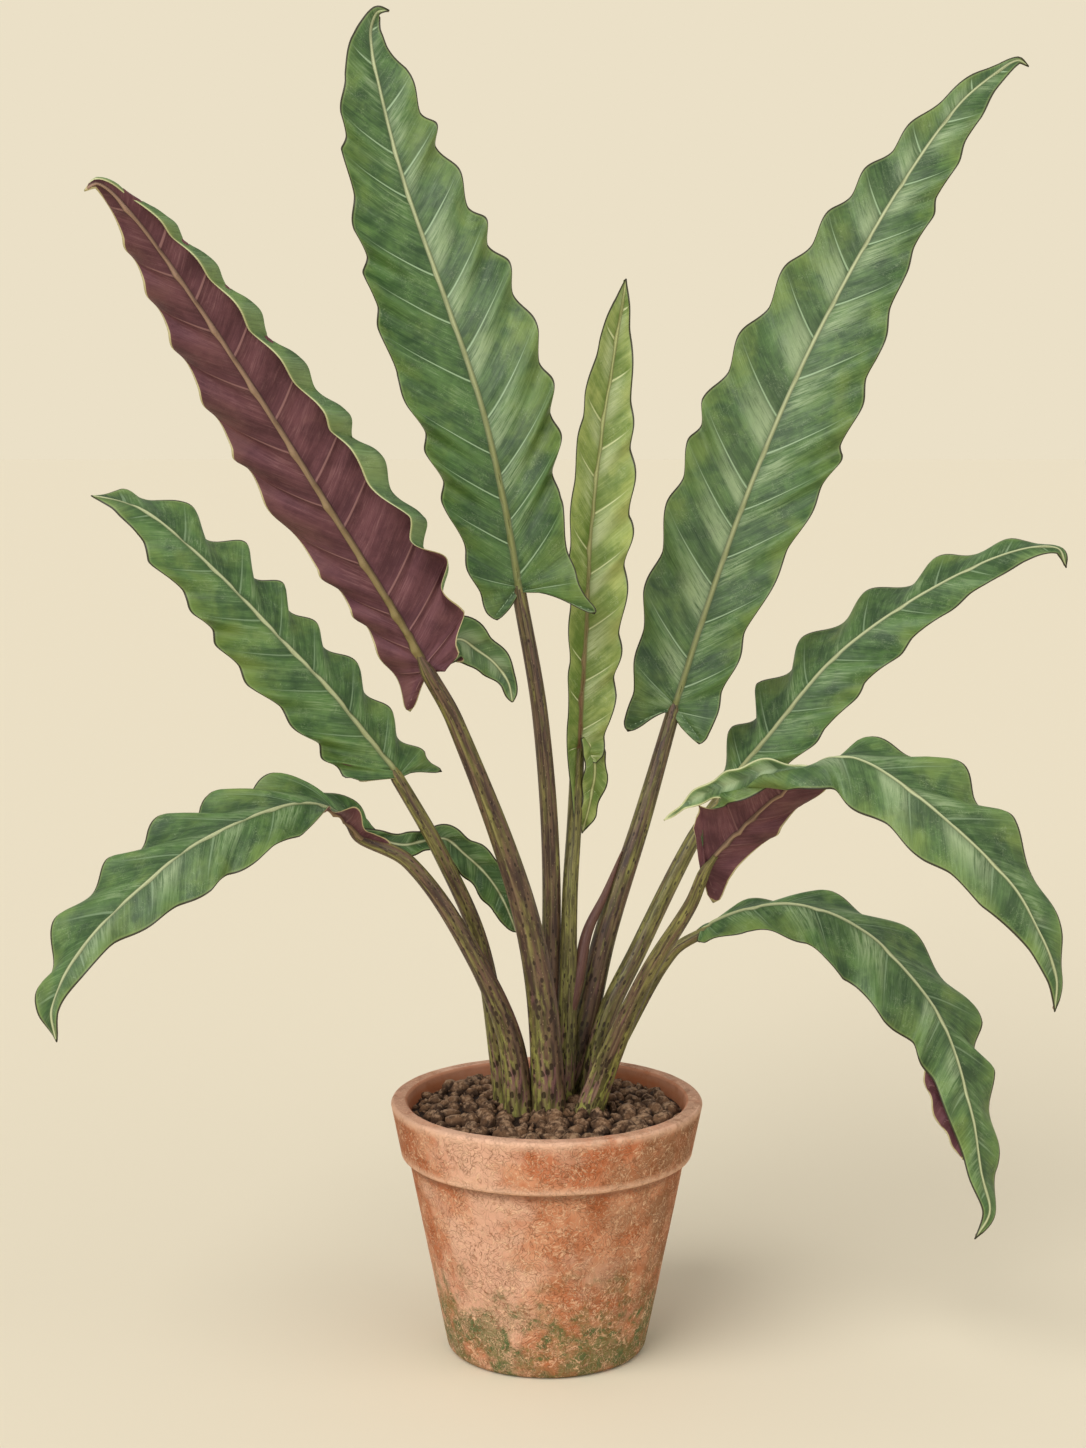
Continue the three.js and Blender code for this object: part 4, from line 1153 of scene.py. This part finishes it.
def sheath_line(leaf):
    """A thin reddish sheath that stands off one side of the stalk's lower half."""
    foot = (leaf["foot"][0] + SHEATH["starts"][0], leaf["foot"][1] + SHEATH["starts"][1])
    path = PathCurve([(*foot, SHEATH["height"]), *SHEATH["path"]])
    run = path_steps(path)
    share = run / path.length
    radius = SHEATH["end_radius"] + SHEATH["swell"] * np.sin(math.pi * share ** 0.7) ** 0.8
    return path.point(run), radius, run


def stalk_mesh(leaf):
    lines = [stalk_line(leaf)]
    if leaf["name"] == SHEATH["leaf"]:
        lines.append(sheath_line(leaf))
    points, edges = [], []
    values = {"radius_mm": [], "rise_mm": [], "green": [], "sheath": []}
    for number, (places, radius, rise) in enumerate(lines):
        first = len(points)
        points.extend(places)
        edges.extend((first + i, first + i + 1) for i in range(len(places) - 1))
        values["radius_mm"].extend(radius)
        values["rise_mm"].extend(rise)
        values["green"].extend([leaf["green"]] * len(places))
        values["sheath"].extend([float(number)] * len(places))
    return source_mesh(leaf["name"], points, edges=edges, values=values)


def stalk_tree():
    """Sweeps a ring along each chain of points and raises the base's folded edges."""
    tree = GeometryTree("stalk_sweep", {
        "Sides": "count", "Fold Height": "number", "Fold Reach": "number", "Skin": "material"})
    given = tree.source
    curve = tree.add("GeometryNodeMeshToCurve", {0: given["Geometry"]}).outputs[0]
    ring = tree.add("GeometryNodeCurvePrimitiveCircle", {"Resolution": given["Sides"], "Radius": 1.0})
    x, y, _ = tree.parts(tree.place())
    profile = tree.store(tree.store(ring.outputs[0], "ring_x", x), "ring_y", y)
    radius = tree.times(tree.attribute("radius_mm"), MM)
    swept = tree.add("GeometryNodeCurveToMesh",
                     {"Curve": curve, "Profile Curve": profile, "Scale": radius, "Fill Caps": True})
    turn = tree.maths("ARCTAN2", tree.attribute("ring_y"), tree.attribute("ring_x"))
    folds = tree.plus(*[tree.fall(tree.off(turn, place), 0.0, width) for place, width in FOLDS])
    low = tree.slope(tree.attribute("rise_mm"), 0, given["Fold Reach"], 1.0, 0.25)
    body = tree.shift(swept.outputs[0], tree.times(folds, low, given["Fold Height"]))
    return tree.finish(body, [(given["Skin"], None)])


class StalkSkin(Surface):
    """Patterns on a stalk: around is how often they change round it, and pitch is their length."""

    def __init__(self):
        super().__init__("stalk_skin", specular=0.35)
        self.x, self.y = self.attribute("ring_x"), self.attribute("ring_y")
        self.rise, self.green = self.attribute("rise_mm"), self.attribute("green")
        self.foot = self.fall(self.rise, 20, 130)

    def on_stalk(self, around, pitch):
        return self.vector(self.times(self.x, around), self.times(self.y, around),
                           self.times(self.rise, 1 / pitch))

    def lengthwise(self, around, pitch, **settings):
        return self.noise(self.on_stalk(around, pitch), 1.0, **settings)

    def cells(self, around, pitch, low, high):
        found = self.add("ShaderNodeTexVoronoi", {"Vector": self.on_stalk(around, pitch), "Scale": 1.0})
        return self.fall(found.outputs["Distance"], low, high)

    def banded(self, bands):
        """Brown-purple with long olive bands, and pink and lime in the foot."""
        skin = self.blend(self.slope(self.lengthwise(2.4, 22, detail=3.0), 0.38, 0.62),
                          colour(66, 48, 40), colour(104, 80, 62))
        olive = self.blend(self.slope(self.lengthwise(2.4, 18, detail=3.0), 0.38, 0.66),
                           colour(84, 78, 42), colour(130, 124, 68))
        bright = self.plus(bands, self.times(self.green, 0.24), self.times(self.foot, 0.06))
        skin = self.blend(self.slope(bright, 0.54, 0.74), skin, olive)
        pink = self.slope(self.lengthwise(1.8, 28, detail=2.0, distortion=0.5), 0.52, 0.64)
        skin = self.tint(skin, colour(140, 96, 96), pink, self.foot, 0.7)
        lime = self.slope(self.lengthwise(3.2, 10, detail=3.0, distortion=0.3), 0.50, 0.62)
        return self.tint(skin, colour(152, 152, 76), lime,
                         self.slope(self.lengthwise(1.4, 40, detail=1.0), 0.42, 0.6),
                         self.plus(self.times(self.foot, 0.55), self.times(self.green, 0.35), 0.12))

    def grooved(self, skin):
        # Grooves painted in colour only: a painted shade line in each and a painted highlight line on the
        # ridge beside it.
        turn = self.maths("ARCTAN2", self.y, self.x)
        for place, width in GROOVES:
            beside = self.plus(turn, -place)
            groove_shade = self.fall(self.maths("ABSOLUTE", beside), 0.0, width)
            ridge = self.fall(self.off(beside, 1.6 * width), 0.0, width)
            skin = self.tint(skin, colour(48, 34, 26), groove_shade, 0.5)
            skin = self.tint(skin, colour(160, 146, 104), ridge, 0.25)
        return skin

    def specks(self):
        size = self.plus(self.times(self.foot, 0.14), self.times(self.fall(self.rise, 60, 300), 0.06))
        return self.times(self.cells(2.4, 6.0, self.plus(size, 0.16), self.plus(size, 0.24)),
                          self.slope(self.lengthwise(2.6, 12), 0.40, 0.52))


def stalk_surface():
    """Banded skin with painted grooves, each a painted shade line with a painted highlight beside it,
    dark specks and tan dots, and a reddish sheath.
    """
    s = StalkSkin()
    bands = s.lengthwise(1.3, 60, detail=3.0, roughness=0.6)
    skin = s.grooved(s.banded(bands))
    specks = s.specks()
    skin = s.tint(skin, colour(44, 30, 22), specks, 0.85)
    skin = s.tint(skin, colour(52, 38, 28), s.cells(5.0, 3.0, 0.16, 0.26),
                  s.slope(s.lengthwise(2.0, 20), 0.44, 0.56), 0.5)
    skin = s.tint(skin, colour(178, 156, 116), s.cells(4.4, 4.2, 0.09, 0.17), 0.45)
    skin = s.tint(skin, colour(104, 66, 60), s.attribute("sheath"), 0.75)
    fine = s.plus(s.lengthwise(6.0, 7, detail=2.0), s.times(specks, -0.4))
    return s.finish(skin, fine, 0.3, s.slope(bands, 0.3, 0.7, 0.42, 0.52))


# Pot

POT = {
    "height": 165, "rim_radius": 100, "rim_wall": 10.5, "band_height": 36, "band_foot": 94,
    "neck_radius": 89, "foot_radius": 65, "wall": 9, "floor": 11, "drain_radius": 10,
    "edge_round": 2.6, "foot_round": 6, "step": 1.8, "turns": 300,
    "neck_gap": 1,  # how far under the band's foot the neck ends
    "highlight_reach": 7, "highlight_fades": 5,  # how far from a rim's edge the clay is painted lighter as a highlight
    # how strongly the rim's top is painted lighter as a highlight, and how near the top counts as top
    "top_highlight": 0.65, "top_slack": 0.2,
    "inside_slack": 1.5, "floor_slack": 0.5,
}
BAND_FOOT = POT["height"] - POT["band_height"]
RIM_INSIDE = POT["rim_radius"] - POT["rim_wall"]
FLOOR_RADIUS = POT["foot_radius"] - POT["wall"]


def inside_radius(height):
    return np.interp(height, [POT["floor"], POT["height"]], [FLOOR_RADIUS, RIM_INSIDE])


def arc(centre, radius, start, end, steps=6):
    angles = np.radians(np.linspace(start, end, steps + 1))
    return [(centre[0] + radius * math.cos(a), centre[1] + radius * math.sin(a)) for a in angles]


def pot_outline():
    """The wall's closed outline as points of radius and height, how strongly each point is
    painted lighter as an edge highlight, and how far inside it is."""
    edge, foot, top = POT["edge_round"], POT["foot_round"], POT["height"]
    lean = math.degrees(math.atan2(POT["neck_radius"] - POT["foot_radius"], BAND_FOOT))
    corners = [
        (POT["drain_radius"], 0),
        *arc((POT["foot_radius"] - foot, foot), foot, -90, -lean),
        (POT["neck_radius"], BAND_FOOT - POT["neck_gap"]),
        *arc((POT["band_foot"] - edge, BAND_FOOT + edge), edge, -90, 0),
        *arc((POT["rim_radius"] - edge, top - edge), edge, 0, 90),
        *arc((RIM_INSIDE + edge, top - edge), edge, 90, 180),
        (FLOOR_RADIUS, POT["floor"]),
        (POT["drain_radius"], POT["floor"]),
    ]
    points = []
    for a, b in zip(corners, corners[1:] + corners[:1]):
        pieces = max(1, int(math.dist(a, b) / POT["step"]))
        points.extend(np.array(a) + (np.array(b) - a) * k / pieces for k in range(pieces))
    points = np.array(points)
    rims = [(POT["rim_radius"], top), (RIM_INSIDE, top), (POT["band_foot"], BAND_FOOT)]
    nearest = np.min([np.hypot(*(points - rim).T) for rim in rims], axis=0)
    edge_highlight = smooth_step((POT["highlight_reach"] - nearest) / POT["highlight_fades"])
    # the rim's top is painted lighter all over, as a highlight
    edge_highlight[points[:, 1] > top - POT["top_slack"]] = POT["top_highlight"]
    within = points[:, 0] < inside_radius(points[:, 1]) + POT["inside_slack"]
    inside = within & (points[:, 1] > POT["floor"] - POT["floor_slack"])
    return points, edge_highlight, inside.astype(float)


def pot_tree():
    """Turns an outline about the pot's axis, uneven as a thrown pot is."""
    tree = GeometryTree("pot_turning", {
        "Outline Points": "count", "Turns": "count", "Unevenness": "number", "Clay": "material"})
    given = tree.source
    across = tree.maths("ADD", given["Outline Points"], 1)
    grid = tree.add("GeometryNodeMeshGrid", {
        "Size X": 1.0, "Size Y": 1.0, "Vertices X": across, "Vertices Y": given["Turns"]})
    index = tree.add("GeometryNodeInputIndex").outputs[0]
    column = tree.maths("FLOOR", tree.maths("DIVIDE", tree.plus(index, 0.5), given["Turns"]))
    row = tree.maths("SUBTRACT", index, tree.times(column, given["Turns"]))
    along = tree.maths("MODULO", column, given["Outline Points"])

    def outline_value(field, kind):
        made = tree.add("GeometryNodeSampleIndex", {"Geometry": given["Geometry"]},
                        data_type=kind, domain="POINT")
        tree.tree.links.new(field, made.inputs["Value"])
        tree.tree.links.new(along, made.inputs["Index"])
        return made.outputs[0]

    axis_x, axis_y = float(POT_FOOT[0]), float(POT_FOOT[1])
    x, _, z = tree.parts(outline_value(tree.place(), "FLOAT_VECTOR"))
    last = tree.maths("SUBTRACT", given["Turns"], 1)
    turn = tree.times(tree.maths("DIVIDE", row, last), 2 * math.pi)
    radius = tree.maths("SUBTRACT", x, axis_x)
    around = tree.vector(tree.plus(tree.times(radius, tree.maths("COSINE", turn)), axis_x),
                         tree.plus(tree.times(radius, tree.maths("SINE", turn)), axis_y), z)
    body = tree.add("GeometryNodeSetPosition", {"Geometry": grid.outputs[0], "Position": around})
    body = body.outputs[0]
    for label in ("edge_highlight", "inside"):
        body = tree.store(body, label, outline_value(tree.attribute(label), "FLOAT"))
    body = tree.add("GeometryNodeMergeByDistance", {"Geometry": body, "Distance": 1e-5}).outputs[0]
    wobble = tree.noise(tree.place(), 32.0, detail=2.0)
    body = tree.shift(body, tree.times(tree.plus(wobble, -0.5), given["Unevenness"]))
    return tree.finish(body, [(given["Clay"], None)])


class Terracotta(Surface):
    """Clay by its height above the pot's foot and its side of the pot's axis, in millimetres."""

    def __init__(self):
        super().__init__("terracotta", specular=0.2)
        x, _, z = self.parts(self.place)
        self.height = self.times(z, 1 / MM)
        self.side = self.times(self.plus(x, -float(POT_FOOT[0])), 1 / MM)
        self.cloud = self.patches(30, detail=4.0, roughness=0.65)
        self.outside = self.slope(self.attribute("inside"), 0.2, 0.8, 1, 0.12)

    def fired(self):
        """Orange clay with rust and pink blooms, painted light on its left, painted shade to the right
        and painted shade at both outlines.
        """
        lit_side = self.fall(self.off(self.side, -30), 10, 80)
        clay = self.blend(self.slope(self.cloud, 0.35, 0.65),
                          colour(184, 112, 74), colour(212, 150, 114))
        rust = self.slope(self.patches(38, detail=3.0, distortion=0.7), 0.48, 0.66)
        clay = self.tint(clay, colour(180, 94, 50), rust, 0.7)
        # pink bloom in patches, with painted light added on the pot's left
        bloom_and_painted_light = self.plus(self.times(self.patches(46, detail=4.0, roughness=0.6), 0.8),
                          self.times(lit_side, 0.14))
        clay = self.tint(clay, colour(228, 184, 158), self.slope(bloom_and_painted_light, 0.44, 0.62), 0.7)
        # painted shade on the pot's right
        clay = self.tint(clay, colour(128, 96, 66), self.slope(self.side, -10, 92),
                         self.slope(self.patches(22, detail=3.0), 0.30, 0.62), 0.75)
        # painted shade towards both outlines
        side_shade = self.slope(self.maths("ABSOLUTE", self.side), 62, 100)
        return self.tint(clay, colour(116, 72, 46), side_shade, 0.35)

    def marks(self, size, offset, width, gate):
        """Short curved brush strokes: thin lines where a twisted noise crosses its middle."""
        moved = self.add("ShaderNodeVectorMath", {0: self.place, 1: (offset, 0.7 * offset, -offset)},
                         operation="ADD").outputs[0]
        swirl = self.noise(moved, 1 / (size * MM), detail=1.0, distortion=2.2)
        line = self.fall(self.off(swirl, 0.5), 0.3 * width, width)
        return self.times(line, self.slope(self.noise(moved, 1 / (1.5 * size * MM), detail=1.0), *gate))

    def overgrown(self, clay, light):
        """Green algae low down, thinner where the light strokes are, and a dull skirt."""
        low = self.fall(self.height, 16, 100)
        algae = self.plus(self.times(self.patches(20, detail=5.0, roughness=0.7), 0.9),
                          self.times(low, 0.16), self.times(light, -0.05))
        clay = self.tint(clay, colour(106, 112, 66), self.slope(algae, 0.48, 0.66), low,
                         self.outside, 0.85)
        green = self.slope(self.patches(10, detail=4.0, roughness=0.65), 0.50, 0.62)
        clay = self.tint(clay, colour(76, 98, 56), green, self.slope(algae, 0.52, 0.66), low,
                         self.outside, 0.85)
        return self.tint(clay, colour(128, 106, 70), self.fall(self.height, 2, 26),
                         self.slope(self.patches(9, detail=3.0), 0.36, 0.6), self.outside, 0.45)

    def handled(self, clay):
        """A painted shadow line under the band, painted highlights along the rims and a redder inside."""
        # painted shadow under the band's overhang
        shade = self.slope(self.height, BAND_FOOT - 8, BAND_FOOT - 1.5)
        clay = self.tint(clay, colour(112, 62, 36), shade,
                         self.fall(self.height, BAND_FOOT - 1, BAND_FOOT), self.outside, 0.6)
        # painted highlight along the rims' edges and on the rim's top
        clay = self.tint(clay, colour(228, 184, 154), self.attribute("edge_highlight"),
                         self.slope(self.patches(7), 0.25, 0.55, 0.4, 1), 0.8)
        return self.tint(clay, colour(178, 108, 70), self.slope(self.attribute("inside"), 0.2, 0.8), 0.65)


def clay_surface():
    s = Terracotta()
    light = s.plus(s.marks(10.0, 0.0, 0.032, (0.36, 0.46)), s.marks(7.0, 1.7, 0.036, (0.38, 0.50)))
    dark = s.plus(s.marks(8.5, 3.1, 0.030, (0.38, 0.48)), s.marks(12.0, 4.3, 0.026, (0.38, 0.48)))
    light, dark = s.times(light, s.outside), s.times(dark, s.outside)
    clay = s.overgrown(s.fired(), light)
    clay = s.tint(clay, colour(238, 196, 158), light, 0.5)
    clay = s.handled(s.tint(clay, colour(136, 82, 48), dark, 0.42))
    relief = s.plus(s.times(s.patches(1.4, detail=3.0), 0.5), s.times(light, 0.4),
                    s.times(dark, -0.4))
    return s.finish(clay, relief, 0.5, s.slope(s.cloud, 0.3, 0.7, 0.92, 0.8))


# Soil

SOIL = {"wall_gap": 0.4, "side_rings": 15, "rings": 60, "turns": 150, "top_slack": 0.01, "seed": 7}
SOIL_SIZES = {
    "Lump Height": 2.2, "Lump Size": 13,
    "Crumb Spacing": 9.8, "Smallest Crumb": 4.2, "Largest Crumb": 8.4,
    "Grain Spacing": 4.2, "Smallest Grain": 1.2, "Largest Grain": 2.8,
    "Roughness": 3.2,
}
MOST_LOOSE = 90000.0                # crumbs or grains on a square metre
ANY_TURN = (6.28, 6.28, 6.28)
FLATTEST = (0.7, 0.7, 0.5)
ROUNDEST = (1.3, 1.3, 0.85)


def soil_mesh():
    """A plug that fills the pot: an uneven top, and a plain side and underside."""
    bottom = POT["floor"] + SOIL["wall_gap"]
    heights = np.linspace(bottom, SOIL_EDGE, SOIL["side_rings"] + 1)
    edge = inside_radius(SOIL_EDGE) - SOIL["wall_gap"]
    tops = edge * (1 - np.arange(1, SOIL["rings"]) / SOIL["rings"])
    rings = [(inside_radius(height) - SOIL["wall_gap"], height) for height in heights]
    rings += [(radius, soil_top(radius)) for radius in tops]
    angles = np.arange(SOIL["turns"]) * 2 * math.pi / SOIL["turns"]
    circle = np.stack([np.cos(angles), np.sin(angles)], axis=1)
    points = [(0, 0, bottom)]
    points += [(x, y, height) for radius, height in rings for x, y in circle * radius]
    points.append((0, 0, soil_top(0)))
    top = [float(height > SOIL_EDGE + SOIL["top_slack"]) for _, _, height in points]
    n = SOIL["turns"]
    faces = [(0, 1 + (i + 1) % n, 1 + i) for i in range(n)]
    for a in range(1, 1 + n * (len(rings) - 1), n):
        b = a + n
        faces += [(a + i, a + (i + 1) % n, b + (i + 1) % n, b + i) for i in range(n)]
    last = len(points) - 1 - n
    faces += [(last + i, last + (i + 1) % n, len(points) - 1) for i in range(n)]
    return source_mesh("soil", points, faces=faces, values={"top": top})


def soil_tree():
    """Lumps on the top of the soil, and crumbs and grains of every turn and size over it."""
    tree = GeometryTree("soil_crumbs", {
        **dict.fromkeys(SOIL_SIZES, "number"), "Seed": "count", "Earth": "material"})
    given = tree.source
    top = tree.attribute("top")
    spot = tree.place()
    waves = tree.noise(spot, tree.maths("DIVIDE", 1.0, given["Lump Size"]), detail=3.0, roughness=0.6)
    lumps = tree.times(tree.plus(waves, -0.5), 2.0, given["Lump Height"], top)
    bed = tree.shift(given["Geometry"], lumps, (0, 0, 1))

    def scatter(kind, stone, seed):
        points = tree.add("GeometryNodeDistributePointsOnFaces", {
            "Mesh": bed, "Selection": tree.maths("GREATER_THAN", top, 0.5),
            "Distance Min": given[f"{kind} Spacing"], "Density Max": MOST_LOOSE,
            "Seed": tree.maths("ADD", given["Seed"], seed)}, distribute_method="POISSON")
        spin = tree.add("FunctionNodeRandomValue", {0: (0, 0, 0), 1: ANY_TURN, "Seed": seed + 1},
                        data_type="FLOAT_VECTOR")
        shape = tree.add("FunctionNodeRandomValue", {0: FLATTEST, 1: ROUNDEST, "Seed": seed + 2},
                         data_type="FLOAT_VECTOR")
        size = tree.add("FunctionNodeRandomValue", {
            2: given[f"Smallest {kind}"], 3: given[f"Largest {kind}"], "Seed": seed + 3},
            data_type="FLOAT")
        scale = tree.add("ShaderNodeVectorMath", {0: shape.outputs[0], "Scale": size.outputs[1]},
                         operation="SCALE")
        return tree.add("GeometryNodeInstanceOnPoints", {
            "Points": points.outputs[0], "Instance": stone, "Rotation": spin.outputs[0],
            "Scale": scale.outputs[0]}).outputs[0]

    clod = tree.add("GeometryNodeMeshUVSphere", {"Segments": 8, "Rings": 5, "Radius": 1.0})
    bit = tree.add("GeometryNodeMeshIcoSphere", {"Radius": 1.0, "Subdivisions": 1})
    crumbs = scatter("Crumb", clod.outputs[0], 10)
    grains = scatter("Grain", bit.outputs[0], 20)
    loose = tree.add("GeometryNodeRealizeInstances", {0: tree.join(grains, crumbs)}).outputs[0]
    dents = tree.noise(spot, 150.0, detail=3.0, roughness=0.7)
    loose = tree.shift(loose, tree.times(tree.plus(dents, -0.5), 2.0, given["Roughness"]))
    loose = tree.store(loose, "crumb", 1.0)
    loose = tree.store(loose, "topside", tree.parts(tree.normal())[2])
    return tree.finish(tree.join(loose, bed), [(given["Earth"], None)])


def earth_surface():
    """Dark earth painted nearly black as shade in the gaps and along painted crack lines, and browner
    crumbs, pale in patches, lighter on their tops and darker on their sides as painted light and shade.
    """
    s = Surface("damp_earth", specular=0.2)
    crumb, topside = s.attribute("crumb"), s.attribute("topside")
    body = s.blend(s.slope(s.patches(9, detail=3.0), 0.36, 0.62), colour(70, 50, 36),
                   colour(124, 92, 66))
    # pale patches on the crumbs, more on their upward faces as painted light
    pale = s.plus(s.times(s.patches(3.4, detail=3.0, roughness=0.7), 0.9), s.times(topside, 0.22))
    body = s.tint(body, colour(178, 144, 112), s.slope(pale, 0.54, 0.74), crumb, 0.8)
    # painted shade on faces that turn away from up
    body = s.tint(body, colour(44, 30, 22), s.fall(topside, -0.1, 0.6), 0.7)
    # painted shade: the bed between the crumbs nearly black, as in the gaps
    body = s.tint(body, colour(34, 22, 16), s.fall(crumb, 0.2, 0.8), 0.8)
    # painted shade lines standing for cracks
    painted_crack_shade = s.fall(s.patches(2.6, detail=4.0, roughness=0.7), 0.34, 0.44)
    body = s.tint(body, colour(30, 20, 14), painted_crack_shade, 0.6)
    relief = s.plus(s.patches(1.8, detail=4.0, roughness=0.7), s.times(s.patches(5, detail=3.0), 1.2))
    return s.finish(body, relief, 1.6, s.slope(s.patches(5), 0.3, 0.7, 0.6, 0.9))


# The plant in its pot

blade_body = blade_tree()
stalk_sweep = stalk_tree()
leaf_sides = {
    "leaf": {"Upper Side": blade_surface("leaf_upper_side", UPPER_LOOK),
             "Underside": blade_surface("leaf_underside", UNDER_LOOK)},
    "young_leaf": {"Upper Side": blade_surface("young_leaf_upper_side", YOUNG_LOOK),
                   "Underside": blade_surface("young_leaf_underside", YOUNG_UNDER_LOOK)},
}
stalk_inputs = {**STALK_SKIN, "Skin": stalk_surface()}

for number, leaf in enumerate(LEAVES):
    name = leaf["name"]
    slot = "young_leaf" if name == "young_middle" else "leaf"
    grow(f"{name}_blade", blade_sheet(leaf, BLADE["first_seed"] + number), blade_body,
         {**BLADE_RELIEF, **leaf_sides[slot]}, f"blade_{name}")
    grow(f"{name}_stalk", stalk_mesh(leaf), stalk_sweep, stalk_inputs, f"stalk_{name}")

outline, edge_highlight, inside = pot_outline()
pot_ring = source_mesh("pot", [(r, 0, z) for r, z in outline], values={"edge_highlight": edge_highlight, "inside": inside})
grow("clay_pot", pot_ring, pot_tree(), {
    "Outline Points": len(outline), "Turns": POT["turns"] + 1, "Unevenness": 0.7 * MM,
    "Clay": clay_surface(),
}, "terracotta_pot")
grow("soil_bed", soil_mesh(), soil_tree(), {
    **{label: size * MM for label, size in SOIL_SIZES.items()},
    "Seed": SOIL["seed"], "Earth": earth_surface(),
}, "potting_soil")
